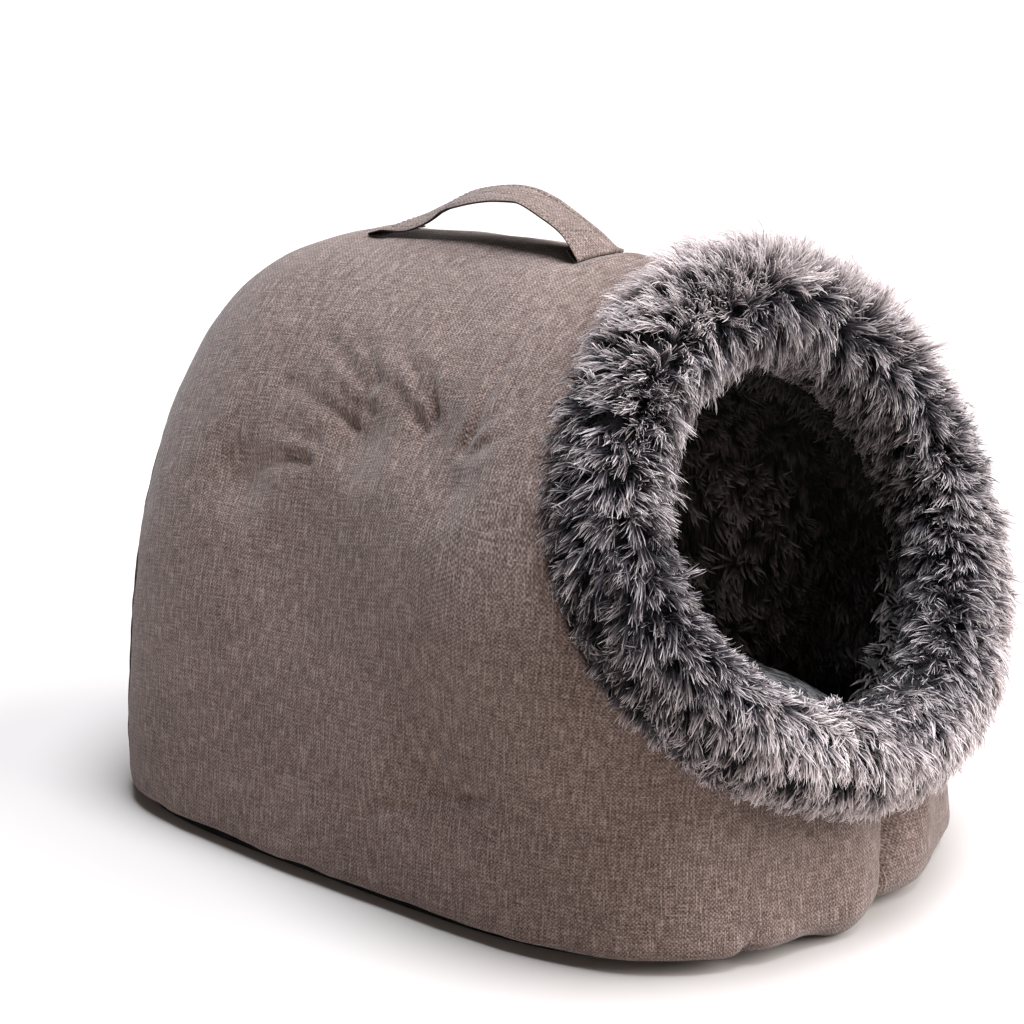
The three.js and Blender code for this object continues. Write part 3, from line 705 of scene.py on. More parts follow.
# How far the strap stands over the ridge, in mm: the place along Y, the edge at -X, the edge at +X.
STRAP_RISE = (
    (-24.6, 3.8, 1.7), (-22, 7.4, 3.0), (-17, 11.6, 6.2), (-7, 15.7, 10.6),
    (4, 20.1, 15.3), (10, 20.8, 17.6), (20, 19.6, 20.3), (30, 17.6, 21.5),
    (40, 15.2, 21.2), (49, 12.4, 20.0), (57, 7.2, 18.2), (65, 4.0, 15.0),
    (73, 2.2, 11.2), (80, 2.4, 7.2), (86, 3.0, 4.2), (90.5, 2.2, 2.4),
)
STRAP_RIPPLE = 0.0011
STRAP_RIPPLE_ACROSS = 0.0055
STRAP_RIPPLE_ALONG = 0.045
STRAP_SEWN_DOWN = 0.017
# The strap's underside, both long edges and its end caps are painted near black: painted shade under
# and inside the strap, on cloth that is the same linen as its top.
UNDERSIDE_SHADE_DARK = (0.012, 0.009, 0.008)
UNDERSIDE_SHADE_LIGHT = (0.05, 0.036, 0.03)
STITCH_FROM_EDGE = 0.0030
STITCH_PITCH = 0.0034
STITCH_LENGTH = 0.0025
STITCH_THICKNESS = 0.00034
STITCH_GROOVE = 0.0004


def finer_line(points, finer):
    """A smooth line through points, with a number of steps between each two of them."""
    padded = np.concatenate([[2 * points[0] - points[1]], points, [2 * points[-1] - points[-2]]])
    share = np.linspace(0, 1, finer, endpoint=False)[:, None]
    line = []
    for a, b, c, d in zip(padded, padded[1:], padded[2:], padded[3:]):
        bend = 2 * a - 5 * b + 4 * c - d
        line.append(b + 0.5 * share * (c - a + share * (bend + share * (3 * (b - c) + d - a))))
    return np.concatenate([*line, points[-1:]])


def strap_sides():
    """The strap's line: along Y, and the rise of its edges at -X and at +X."""
    low = SEAM_GAP + STRAP_PRESSED * STRAP_LAYER / 2
    radius = (STRAP_PRESSED * STRAP_LAYER + STRAP_FOLD_GAP) / 2

    def turned_end(y, sign, rise_minus, rise_plus):
        under = []
        for share in (1, 0.6, 0.2):
            lift = share**1.5
            back = sign * share * STRAP_TURNED_UNDER
            under.append((y - back, low + rise_minus * lift, low + rise_plus * lift))
        bend = []
        for degrees in (-60, -20, 20, 60):
            turn = math.radians(degrees)
            rise = low + radius + radius * math.sin(turn)
            bend.append((y + sign * radius * math.cos(turn), rise, rise))
        return under + bend

    top = np.array(STRAP_RISE) / 1000 + (0, STRAP_LAYER / 2, STRAP_LAYER / 2)
    front = turned_end(STRAP_FRONT + radius, -1, 0.0046, 0.0009)
    rear = turned_end(STRAP_REAR - radius, 1, 0.0008, 0.0008)
    return finer_line(np.array([*front, *top, *rear[::-1]]), STRAP_FINER)


def strap_underside_shade_finish():
    material, tree = new_finish("strap_underside_shade", roughness=0.8)
    ribs = uneven(tree, cloth_place(tree), 0.0008, along=0.004)
    colour = mix_colours(tree, between(tree, ribs, 0.35, 0.65), UNDERSIDE_SHADE_DARK, UNDERSIDE_SHADE_LIGHT)
    return colour_threads(material, colour, ribs, 0.0002)


STRAP_UNDERSIDE_SHADE = strap_underside_shade_finish()

strap_line = strap_sides()
strap_across = np.sin(np.linspace(-math.pi / 2, math.pi / 2, STRAP_COLUMNS))
strap_y = np.repeat(strap_line[:, :1], STRAP_COLUMNS, axis=1)
strap_share = (strap_across + 1) / 2
strap_rise = strap_line[:, 1:2] * (1 - strap_share) + strap_line[:, 2:3] * strap_share
strap_x = STRAP_HALF_WIDTH * strap_across[None, :] + 0 * strap_y
ridge = np.empty_like(strap_x)
for place in np.ndindex(ridge.shape):
    above = (strap_x[place], strap_y[place], 0.4)
    ridge[place] = wrap_tree.ray_cast(above, (0, 0, -1))[0].z
strap_middle = np.stack([strap_x, strap_y, ridge + strap_rise], axis=-1)
strap_forward = np.gradient(strap_middle, axis=0)
strap_forward[..., 0] = 0
strap_forward = unit(strap_forward)
strap_up = np.stack([0 * strap_y, -strap_forward[..., 2], strap_forward[..., 1]], axis=-1)
strap_length = run_along(strap_middle[:, STRAP_COLUMNS // 2])
strap_from_tip = np.minimum(strap_length, strap_length[-1] - strap_length)
free = smooth(strap_from_tip / 0.03 - 0.6)[:, None]
ripple_place = (strap_x / STRAP_RIPPLE_ACROSS, strap_length[:, None] / STRAP_RIPPLE_ALONG, 0.0)
ripple_place = np.stack(np.broadcast_arrays(*ripple_place), axis=-1)
strap_ripple = STRAP_RIPPLE * free * noise_at(ripple_place, 1.0, 2.5)
from_edge = STRAP_HALF_WIDTH - np.abs(strap_x)
stitch_groove = STITCH_GROOVE * hill(from_edge, STITCH_FROM_EDGE, 0.0007)
from_end = np.minimum(np.abs(strap_y - STRAP_FRONT), np.abs(strap_y - STRAP_REAR))
pressed = STRAP_PRESSED + (1 - STRAP_PRESSED) * smooth(from_end / 0.009 - 0.4)
half_layer = STRAP_LAYER / 2 * (0.45 + 0.55 * smooth(from_edge / 0.0011)) * pressed
for pleat_share, pleat_depth in STRAP_PLEATS:
    pleat_x = STRAP_HALF_WIDTH * pleat_share + 0.0012 * np.sin(strap_length / 0.017 + 9 * pleat_share)
    stitch_groove = stitch_groove + pleat_depth * free * hill(strap_x, pleat_x[:, None], 0.0016)
strap_upper = strap_middle + strap_up * (strap_ripple + half_layer - stitch_groove)[..., None]
strap_lower = strap_middle + strap_up * (strap_ripple - half_layer)[..., None]
strap_grid = np.concatenate([strap_upper, strap_lower[:, ::-1]], axis=1)
strap_faces = ring_faces(len(strap_grid), strap_grid.shape[1], joined=False)[:, ::-1]
strap_both = np.concatenate([strap_x, strap_x[:, ::-1]], axis=1)
strap_flat = np.stack(np.broadcast_arrays(strap_both, strap_length[:, None]), axis=-1).reshape(-1, 2)
strap_caps = [cap[::-1] for cap in end_caps(len(strap_grid), strap_grid.shape[1])]
strap_cloth = sewn_piece(
    "strap_cloth",
    strap_grid,
    strap_faces,
    LINEN,
    weave=strap_flat,
    caps=strap_caps,
)
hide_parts("carry_strap")
# The underside faces, both long edges and the end caps take the near-black painted shade.
strap_cloth.data.materials.append(STRAP_UNDERSIDE_SHADE)
strap_columns = strap_grid.shape[1]
under_face = (np.arange(len(strap_faces)) % strap_columns) >= STRAP_COLUMNS - 1
slots = np.concatenate([under_face.astype(int), [1, 1]])
strap_cloth.data.polygons.foreach_set("material_index", slots)


def thread_finish(name, dark, light):
    material, tree = new_finish(name, roughness=0.6, sheen=0.2)
    place = cloth_place(tree)
    twist = uneven(tree, place, 0.0006, detail=1)
    colour = mix_colours(tree, between(tree, twist, 0.35, 0.65), dark, light)
    return colour_threads(material, colour, twist, 0.0002)


def stitches_on(name, places, forward, up, material, slot):
    """A row of stitches: each a short plump thread that dips into the cloth at both ends."""
    ring = full_turn(6)
    share = np.linspace(-1, 1, 7)
    thick = STITCH_THICKNESS * np.sqrt(np.maximum(1 - share**4, 0.06))
    sink = -STITCH_THICKNESS * 1.5 * np.abs(share) ** 3
    aside = unit(np.cross(forward, up))
    line = places[:, None] + forward[:, None] * (share * STITCH_LENGTH / 2)[None, :, None]
    line += up[:, None] * sink[None, :, None]
    round_it = aside[:, None] * np.cos(ring)[None, :, None] + up[:, None] * np.sin(ring)[None, :, None]
    points = line[:, :, None] + round_it[:, None] * thick[None, :, None, None]
    each = ring_faces(len(share), len(ring), joined=False)
    size = len(share) * len(ring)
    faces = np.concatenate([each + i * size for i in range(len(places))])
    ends = end_caps(len(share), len(ring))
    caps = [[c + i * size for c in cap] for i in range(len(places)) for cap in ends]
    return sewn_piece(name, points, faces, material, points.reshape(-1, 3)[:, :2], caps)


def strap_stitch_rows():
    """Places, directions and up of the stitches: two rows lengthwise and one across each end."""
    places, forward, up = [], [], []
    count = int((strap_length[-1] - 2 * STRAP_SEWN_DOWN) / STITCH_PITCH)
    wanted = STRAP_SEWN_DOWN + STITCH_PITCH * np.arange(count)
    for side in (-1, 1):
        column = int(np.argmin(np.abs(strap_x[0] - side * (STRAP_HALF_WIDTH - STITCH_FROM_EDGE))))
        for rows, source in ((places, strap_upper), (forward, strap_forward), (up, strap_up)):
            rows.append(points_at(wanted, strap_length, source[:, column]))
    for y, first, last in ((STRAP_FRONT + 0.0105, 0, 0.5), (STRAP_REAR - 0.0115, 0.5, 1)):
        inside = (strap_length > first * strap_length[-1]) & (strap_length < last * strap_length[-1])
        on_top = inside & (strap_from_tip > STRAP_SEWN_DOWN)
        row = np.flatnonzero(on_top)[np.argmin(np.abs(strap_y[on_top, 0] - y))]
        xs = np.arange(-3.5, 4) * STITCH_PITCH
        places.append(points_at(xs, strap_x[row], strap_upper[row]))
        forward.append(np.tile([1.0, 0, 0], (len(xs), 1)))
        up.append(np.tile(strap_up[row, 0], (len(xs), 1)))
    return np.concatenate(places), unit(np.concatenate(forward)), unit(np.concatenate(up))


TAUPE_THREAD = thread_finish("taupe_thread", (0.05, 0.038, 0.033), (0.13, 0.1, 0.09))
strap_stitches = stitches_on("strap_stitches", *strap_stitch_rows(), TAUPE_THREAD, "melange_cloth")

# The lining: brown-grey plush, one sheet glued inside the walls and the roof and one flat sheet
# over the back. Its long pile stands in shaggy tufts that point down and towards the mouth.
LINING_THICKNESS = 0.004
LINING_GAP = 0.0006
LINING_BASE_COLUMNS = 52
LINING_ARCH_COLUMNS = 46
LINING_ROWS = 38
LINING_WAVE = 0.0006
BACK_LINING_COLUMNS = 60
TUFT_COUNT = 2700
RIM_TUFT_COUNT = 340
BACK_TUFT_COUNT = 660
TUFT_STRANDS = 10
TUFT_SPREAD = 0.0018
TUFT_LENGTH = (0.009, 0.0145)
TUFT_RISE = (0.002, 0.006)
TUFT_WIDTH = (0.0011, 0.0020)
LOCK_SEED = 11
LOCK_SHARES = np.array([0, 0.3, 0.65, 1.0])
LOCK_BLUNTNESS = 5.0
GROUND_DARK = (0.014, 0.0115, 0.0105)
GROUND_LIGHT = (0.105, 0.084, 0.077)
PILE_ROOT = (0.010, 0.008, 0.0072)
PILE_MIDDLE = (0.10, 0.078, 0.070)
PILE_TIP = (0.5, 0.43, 0.415)

# Soft folds in the wall at +X beside the mouth, in mm: (y, z) of each end, half width and rise.
LINING_FOLDS = (
    ((-89, 113), (-94, 75), 7.0, 3.0),
    ((-92, 164), (-103, 135), 6.0, 2.6),
    ((-103, 135), (-111, 98), 6.0, 2.6),
)


def plush_finish(name, root, middle, tip):
    """Pile that is dark at its root, paler at its tip, and uneven from lock to lock."""
    material, tree = new_finish(name, roughness=0.8, sheen=0.08)
    place = cloth_place(tree)
    along = add_node(tree, "ShaderNodeSeparateXYZ", {0: place})
    each = between(tree, along.outputs[1], -1, 2, -0.66, 0.66)
    streak = between(tree, uneven(tree, place, 0.15, detail=2, along=0.002), 0.3, 0.7, -0.1, 0.1)
    value = calculate(tree, "ADD", calculate(tree, "ADD", along.outputs[0], each), streak)
    lower = mix_colours(tree, between(tree, value, 0.05, 0.5), root, middle)
    colour = mix_colours(tree, between(tree, value, 0.5, 1.05), lower, tip)
    return colour_threads(material, colour, streak, 0.0002)


def backing_finish(name, dark, light, size, along=None):
    """The short pile and ground that show between locks, combed one way where along is given."""
    material, tree = new_finish(name, roughness=0.95)
    place = cloth_place(tree)
    tuft = uneven(tree, place, size, detail=3, along=along)
    clump = uneven(tree, place, 6 * size, detail=2, along=2 * along if along else None)
    value = calculate(tree, "ADD", tuft, between(tree, clump, 0.35, 0.65, -0.16, 0.16))
    colour = mix_colours(tree, between(tree, value, 0.38, 0.72), dark, light)
    return colour_threads(material, colour, value, 0.002)


PLUSH_GROUND = backing_finish("plush_ground", GROUND_DARK, GROUND_LIGHT, 0.0011, along=0.009)
PLUSH_PILE = plush_finish("plush_pile", PILE_ROOT, PILE_MIDDLE, PILE_TIP)


def lining_fold(p):
    """How far the sheet stands off the wall in its folds, as soft ridges beside the mouth."""
    total = np.zeros(p.shape[:-1])
    for start, end, width, rise in LINING_FOLDS:
        share, aside, length = beside_line(p, start, end)
        away = np.hypot(aside, (share - np.clip(share, 0, 1)) * length)
        total = np.maximum(total, rise / 1000 * hill(away, 0, width / 1000))
    return np.where(p[..., 0] > 0.03, total, 0)


def lining_rows(depth, wavy):
    columns = shell_columns(LINING_BASE_COLUMNS, LINING_ARCH_COLUMNS, WALL, INNER_TURN)
    skin = shell_rows(columns, crowded(LINING_ROWS, 1.5), WALL)
    waves = lining_fold(skin) + LINING_WAVE * (1 + noise_at(skin, 0.03, 2.0))
    return sunk(skin, depth + wavy * waves, WALL)


lining_outer = lining_rows(LINING_GAP, 0)
lining_inner = lining_rows(LINING_GAP + LINING_THICKNESS, 1)
lining_grid = np.concatenate([lining_outer, lining_inner[::-1]])
lining_faces = ring_faces(len(lining_grid), lining_grid.shape[1], joined=True)
lining_flat = shell_weave(lining_grid, lining_faces)
wall_plush = sewn_piece("wall_plush", lining_grid, lining_faces, PLUSH_GROUND, lining_flat)
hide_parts("wall_lining")


def scatter_on(points, faces, count, draw):
    """Places spread evenly over four-sided faces, with the face's outward normal at each."""
    corners = points.reshape(-1, 3)[faces]
    normal = np.cross(corners[:, 2] - corners[:, 0], corners[:, 3] - corners[:, 1])
    area = np.linalg.norm(normal, axis=1)
    picked = draw.choice(len(faces), count, p=area / area.sum())
    u, v = draw.random((2, count, 1))
    a, b, c, d = np.moveaxis(corners[picked], 1, 0)
    place = a * (1 - u) * (1 - v) + b * u * (1 - v) + c * u * v + d * (1 - u) * v
    return place, unit(normal[picked])


def blade_strips(path, side, width, shares, bluntness):
    """Blades along paths of points, as flat strips that narrow to a point. Width is at the root."""
    count, steps = path.shape[:2]
    half = 0.5 * width[:, None, None] * ((1 - shares[:-1] ** bluntness) ** 0.8)[None, :, None]
    edges = np.stack([path[:, :-1] - side * half, path[:, :-1] + side * half], axis=2)
    points = np.concatenate([edges.reshape(count, -1, 3), path[:, -1:]], axis=1)
    base = np.arange(count)[:, None] * points.shape[1]
    first = 2 * np.arange(steps - 2)
    quads = [base + np.array([[i, i + 1, i + 3, i + 2]]) for i in first]
    last = 2 * (steps - 2)
    tips = base + np.array([[last, last + 1, last + 2]])
    return points.reshape(-1, 3), np.stack(quads, axis=1).reshape(-1, 4), tips


def pile_piece(name, path, side, width, tint, shares, bluntness, material, slot):
    """One mesh of joined blades. Its weave runs from 0 at the root to 1 at the tip of each blade."""
    points, quads, tips = blade_strips(path, side, width, shares, bluntness)
    along = np.concatenate([np.repeat(shares[:-1], 2), [1.0]])
    place = np.stack(np.broadcast_arrays(along[None, :], tint[:, None]), axis=-1).reshape(-1, 2)
    return sewn_piece(name, points, quads, material, place, tips.tolist())


def lying_locks(place, normal, lean, draw):
    """Paths, sides, widths and tints of strands in tufts that rise from a surface and lie down. The
    tints hold painted light and shade by place inside the bed.
    """
    count = len(place)
    each_strand = functools.partial(np.repeat, repeats=TUFT_STRANDS, axis=0)
    flow = lean + 0.5 * draw.standard_normal((count, 3))
    normal = each_strand(normal)
    root = each_strand(place) + TUFT_SPREAD * draw.standard_normal((count * TUFT_STRANDS, 3))
    root -= normal * np.sum((root - each_strand(place)) * normal, axis=1, keepdims=True)
    fan = each_strand(unit(flow)) + 0.24 * draw.standard_normal((count * TUFT_STRANDS, 3))
    flow = unit(fan - normal * np.sum(fan * normal, axis=1, keepdims=True))
    long = each_strand(draw.uniform(*TUFT_LENGTH, (count, 1))) * draw.uniform(0.75, 1.1, (len(root), 1))
    rise = each_strand(draw.uniform(*TUFT_RISE, (count, 1))) * draw.uniform(0.6, 1.2, (len(root), 1))
    path = root[:, None] + flow[:, None] * (long * LOCK_SHARES**1.25)[..., None]
    path += normal[:, None] * (rise * np.sin(0.62 * math.pi * LOCK_SHARES) - 0.0006)[..., None]
    path[..., 2] = np.maximum(path[..., 2], BASE_SEAM_Z + 0.0005)
    side = unit(np.cross(normal, flow) + 0.5 * draw.uniform(-1, 1, (len(root), 1)) * normal)[:, None]
    tint = 0.6 * each_strand(draw.random(count)) + 0.4 * draw.random(len(root))
    # Painted light and shade: the tint is raised from the mouth towards the middle of the inside, and
    # lowered towards the top, near the mouth and at the back.
    tint += 1.2 * smooth((path[:, 0, 1] + 0.04) / 0.1) - 0.75 * smooth((path[:, 0, 2] - 0.115) / 0.06)
    tint -= 1.3 * smooth((-0.03 - path[:, 0, 1]) / 0.06) + 0.5 * smooth((path[:, 0, 1] - 0.1) / 0.06)
    return path, side, draw.uniform(*TUFT_WIDTH, len(root)), tint


draw = np.random.default_rng(LOCK_SEED)
inner_start, rim_start = np.array([LINING_ROWS, 2 * LINING_ROWS - 1]) * lining_grid.shape[1]
inner_faces = lining_faces[inner_start:rim_start]
rim_faces = lining_faces[rim_start:]
lock_place, lock_normal = scatter_on(lining_grid, inner_faces, TUFT_COUNT, draw)
rim_place, rim_normal = scatter_on(lining_grid, rim_faces, RIM_TUFT_COUNT, draw)
lock_place = np.concatenate([lock_place, rim_place])
lock_normal = np.concatenate([lock_normal, rim_normal])
lock_lean = np.stack(np.broadcast_arrays(-0.2 * np.sign(lock_place[:, 0]), -0.7, -0.7), axis=1)
locks = lying_locks(lock_place, lock_normal, lock_lean, draw)
wall_pile = pile_piece("wall_pile", *locks, LOCK_SHARES, LOCK_BLUNTNESS, PLUSH_PILE, "plush")

BACK_LINING_INSET = WALL + LINING_GAP + LINING_THICKNESS + 0.0005
back_plush_outline = close_across_base(arch_outline(BACK_LINING_INSET, 120), BACK_LINING_COLUMNS)
back_plush_hub = np.array([0, 0, HUB[2]])
back_plush_rear = BACK_SEAM_Y - SEAM_GAP
back_plush_rows = []
for share, forward in ((0.6, 0), (1, 0), (1, 0.8), (0.985, 1), (0.8, 1), (0.6, 1), (0.4, 1), (0.2, 1)):
    row = back_plush_hub + (back_plush_outline - back_plush_hub) * share
    row[:, 1] = back_plush_rear - forward * LINING_THICKNESS
    row[:, 2] = np.maximum(row[:, 2], BASE_SEAM_Z)
    back_plush_rows.append(row)
back_plush_rows = np.stack(back_plush_rows[::-1])
back_plush_flat = back_plush_rows.reshape(-1, 3)[:, [0, 2]]
back_plush = sewn_rows("back_plush", back_plush_rows, PLUSH_GROUND, back_plush_flat)
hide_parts("back_lining")
front_faces = ring_faces(5, back_plush_rows.shape[1], joined=False)
lock_place, lock_normal = scatter_on(back_plush_rows, front_faces, BACK_TUFT_COUNT, draw)
lock_lean = np.tile([0.0, 0.0, -1.0], (BACK_TUFT_COUNT, 1))
locks = lying_locks(lock_place, lock_normal, lock_lean, draw)
back_pile = pile_piece("back_pile", *locks, LOCK_SHARES, LOCK_BLUNTNESS, PLUSH_PILE, "plush")

# The cushion: one pad filled with fibre, in short dark pile, that covers the whole floor inside.
# It swells until its cover is taut, and is drawn in along its edges.
CUSHION_SHRINK = 0.985
CUSHION_VOXEL = 0.006
CUSHION_PRESSURE = 5.0
CUSHION_STEPS = 20
CUSHION_GIVE = 0.0085
CUSHION_UNEVEN = 0.0012
CUSHION_FOOT = 0.0051
CUSHION_DARK = (0.012, 0.011, 0.0115)
CUSHION_LIGHT = (0.21, 0.192, 0.19)


def short_pile_finish():
    material, tree = new_finish("short_pile", roughness=0.9, sheen=0.05)
    place = add_node(tree, "ShaderNodeTexCoord", {}).outputs["Object"]
    tuft = uneven(tree, place, 0.0013, detail=2, along=0.006)
    stroke = uneven(tree, place, 0.02, detail=3)
    value = calculate(tree, "ADD", tuft, between(tree, stroke, 0.3, 0.7, -0.12, 0.12))
    colour = mix_colours(tree, between(tree, value, 0.42, 0.66), CUSHION_DARK, CUSHION_LIGHT)
    return colour_threads(material, colour, tuft, 0.0012)


def points_of(mesh):
    flat = np.empty(len(mesh.vertices) * 3)
    mesh.vertices.foreach_get("co", flat)
    return flat.reshape(-1, 3)


def fill_cushion(piece):
    """Swells the pad with the cloth solver, and holds each point near where it started."""
    bpy.context.view_layer.objects.active = piece
    started = points_of(piece.data)
    filling = piece.modifiers.new("filling", "CLOTH")
    filling.settings.use_pressure = True
    filling.settings.uniform_pressure_force = CUSHION_PRESSURE
    filling.settings.effector_weights.gravity = 0
    scene = bpy.context.scene
    for step in range(1, CUSHION_STEPS + 1):
        scene.frame_set(step)
    swollen = points_of(piece.evaluated_get(bpy.context.evaluated_depsgraph_get()).data)
    scene.frame_set(1)
    piece.modifiers.remove(filling)
    moved = swollen - started
    length = np.linalg.norm(moved, axis=1, keepdims=True)
    moved *= np.minimum(1, CUSHION_GIVE / np.maximum(length, 1e-9))
    piece.data.vertices.foreach_set("co", (started + moved).ravel())


cushion_middle = np.array((Vector(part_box("cushion")[0]) + Vector(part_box("cushion")[1])) / 2)
cushion_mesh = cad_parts["cushion"].data.copy()
cushion_mesh.name = "cushion_pad"
cushion_points = points_of(cushion_mesh)
cushion_points = cushion_middle + (cushion_points - cushion_middle) * CUSHION_SHRINK
cushion_mesh.vertices.foreach_set("co", cushion_points.ravel())
cushion_pad = put_in_scene("cushion_pad", cushion_mesh)
bpy.context.view_layer.objects.active = cushion_pad
remesh = cushion_pad.modifiers.new("even_mesh", "REMESH")
remesh.mode = "VOXEL"
remesh.voxel_size = CUSHION_VOXEL
bpy.ops.object.modifier_apply(modifier="even_mesh")
fill_cushion(cushion_pad)
smooth_cover = cushion_pad.modifiers.new("smooth_cover", "SUBSURF")
smooth_cover.levels = 1
smooth_cover.render_levels = 1
bpy.ops.object.modifier_apply(modifier="smooth_cover")
cushion_mesh = cushion_pad.data
cushion_points = points_of(cushion_mesh)
cushion_uneven = CUSHION_UNEVEN * noise_at(cushion_points, 0.035, 6.0)
cushion_points[:, 2] = np.maximum(cushion_points[:, 2] + cushion_uneven, CUSHION_FOOT)
cushion_mesh.vertices.foreach_set("co", cushion_points.ravel())
cushion_mesh.polygons.foreach_set("use_smooth", [True] * len(cushion_mesh.polygons))
cushion_mesh.materials.clear()
cushion_mesh.materials.append(short_pile_finish())
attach(cushion_pad, "root")
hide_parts("cushion")

# The collar: a soft roll of long dark fur with pale tips, sewn round the mouth. Its pile parts along
# the roll: the outer locks lean back over the cloth, the inner ones into the mouth, and all of them
# hang a little. Each lock is a brush of thin strands with blunt, pale ends.
CORE_RADIUS = 0.0195
CORE_COLUMNS = 220
CORE_ROWS = 24
PARTING_TURN = 253.0
FUR_SEED = 23
LOCK_SPREAD = 0.0015
FUR_SHARES = np.array([0, 0.3, 0.6, 0.88, 1.0])
FUR_STRANDS = 11
UNDER_FUR_SHARE = 0.3
UNDER_FUR_LENGTH = 0.66
FUR_WIDTH = (0.00040, 0.00066)
FUR_BLUNTNESS = 6.0
FUR_SAG = 0.0014
FUR_ROOT_DEPTH = 0.0006
MOST_UPRIGHT = 0.95
FUR_CURL = 0.0007
ROLL_REACH = 0.105
FUR_MID_RADIUS = 0.0245
FUR_CLEAR = 0.0007

# Each part of the fur: its turns round the roll in degrees, its locks, and the least and the most
# of their length in metres and of how upright they stand.
FUR_PARTS = (
    ("collar_fur_inner", (118, 224), 2200, (0.0080, 0.0120), (0.30, 0.52)),
    ("collar_fur_crest", (218, 300), 2300, (0.0105, 0.0160), (0.50, 0.80)),
    ("collar_fur_outer", (294, 398), 2350, (0.0112, 0.0160), (0.42, 0.70)),
)

# FUR_ROOT is partly the fur's own dark base and partly painted shade deep in the pile. FUR_TIP, on the
# very ends of the pale strands, is partly their own pale colour and partly a painted highlight.
FUR_ROOT = (0.006, 0.005, 0.0075)
FUR_MIDDLE = (0.075, 0.062, 0.070)
FUR_PALE = (0.66, 0.568, 0.555)
FUR_TIP = (0.96, 0.885, 0.865)
FUR_GLOW = 0.36
# The roll's ground is near black: partly the backing's own dark colour and partly painted shade between
# the strands.
FUR_GROUND = backing_finish("fur_ground", (0.006, 0.005, 0.006), (0.022, 0.019, 0.02), 0.0015)


def fur_finish():
    """Strands that are near black at the root, partly painted shade, and turn pale towards blunt,
    bright ends, whose brightest part is partly a painted highlight.
    """
    material, tree = new_finish("fur_pile", roughness=0.5, sheen=0.0)
    place = add_node(tree, "ShaderNodeSeparateXYZ", {0: cloth_place(tree)})
    along, each = place.outputs[0], place.outputs[1]
    value = calculate(tree, "ADD", along, between(tree, each, 0, 1.5, -0.42, 0.51))
    lower = mix_colours(tree, between(tree, value, 0.12, 0.6), FUR_ROOT, FUR_MIDDLE)
    upper = mix_colours(tree, between(tree, value, 0.5, 0.98), lower, FUR_PALE)
    at_tip, pale_strand = between(tree, along, 0.86, 0.97), between(tree, each, 0.2, 0.6)
    bright = calculate(tree, "MULTIPLY", at_tip, pale_strand)
    tips = mix_colours(tree, bright, upper, FUR_TIP)
    twist = uneven(tree, cloth_place(tree), 0.08, detail=1, along=0.01)
    colour_threads(material, tips, twist, 0.0001)
    strand = tree.nodes["Principled BSDF"].outputs[0]
    through = add_node(tree, "ShaderNodeBsdfTranslucent", {"Color": tips})
    both = add_node(tree, "ShaderNodeMixShader", {0: FUR_GLOW, 1: strand, 2: through.outputs[0]})
    tree.links.new(both.outputs[0], tree.nodes["Material Output"].inputs["Surface"])
    return material


FUR_PILE = fur_finish()

core_angle = full_turn(CORE_COLUMNS)
core_turn = full_turn(CORE_ROWS)[::-1]
core_grid = beside_roll(core_angle[None, :], core_turn[:, None], CORE_RADIUS)
core_round, core_across = np.meshgrid(core_angle * 0.1, core_turn * CORE_RADIUS)
core_flat = np.stack([core_round, core_across], axis=-1).reshape(-1, 2)
collar_roll = sewn_rows("collar_roll", core_grid, FUR_GROUND, core_flat, joined=True)
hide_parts("collar")


def clear_of_wrap(points):
    """Moves points that sink into the wrap's cloth to just outside it."""
    flat = points.reshape(-1, 3)
    for i, p in enumerate(flat.tolist()):
        place, normal, _, _ = wrap_tree.find_nearest(p, 0.012)
        if place is None:
            continue
        if (Vector(p) - place).dot(normal) < FUR_CLEAR:
            flat[i] = place + normal * FUR_CLEAR
    return flat.reshape(points.shape)


def parting(angle):
    """The turn at which the pile parts: near the mouth below, and near the cloth at -X."""
    place = -6.5 - 26 * np.cos(angle) + 25 * np.sin(angle) + 13.5 * np.cos(2 * angle)
    wavy = 5 * np.sin(5 * angle + 0.6) + 5 * np.sin(9 * angle + 2.1) + 3 * np.sin(17 * angle)
    return np.radians(PARTING_TURN + place + wavy)


def fur_areas(angle, turn):
    """How much each lock belongs to the areas of the roll whose pile lies in a way of its own. The
    angle goes round the mouth: 0 is at +X and pi / 2 at the top. The turn goes round the roll:
    pi faces into the mouth, 3 pi / 2 the front, and 2 pi away from the mouth."""
    at_minus_x = smooth(-1.3 * np.cos(angle))
    return {
        "near_parting": hill(turn, parting(angle), 0.4),
        "side_inside": at_minus_x * smooth((5.0 - turn) / 0.6),
        "side_outside": at_minus_x * smooth((turn - 5.0) / 0.6),
        "below": smooth(-np.sin(angle)) * smooth((4.7 - turn) / 0.5),
        "above": smooth(1.3 * np.sin(angle)) * smooth((turn - 4.4) / 0.5),
        "facing": smooth(1.2 * np.cos(angle)) * hill(turn, 3.7, 0.35),
        "low_corner": np.maximum(np.cos(angle - math.radians(305)), 0) ** 2,
    }


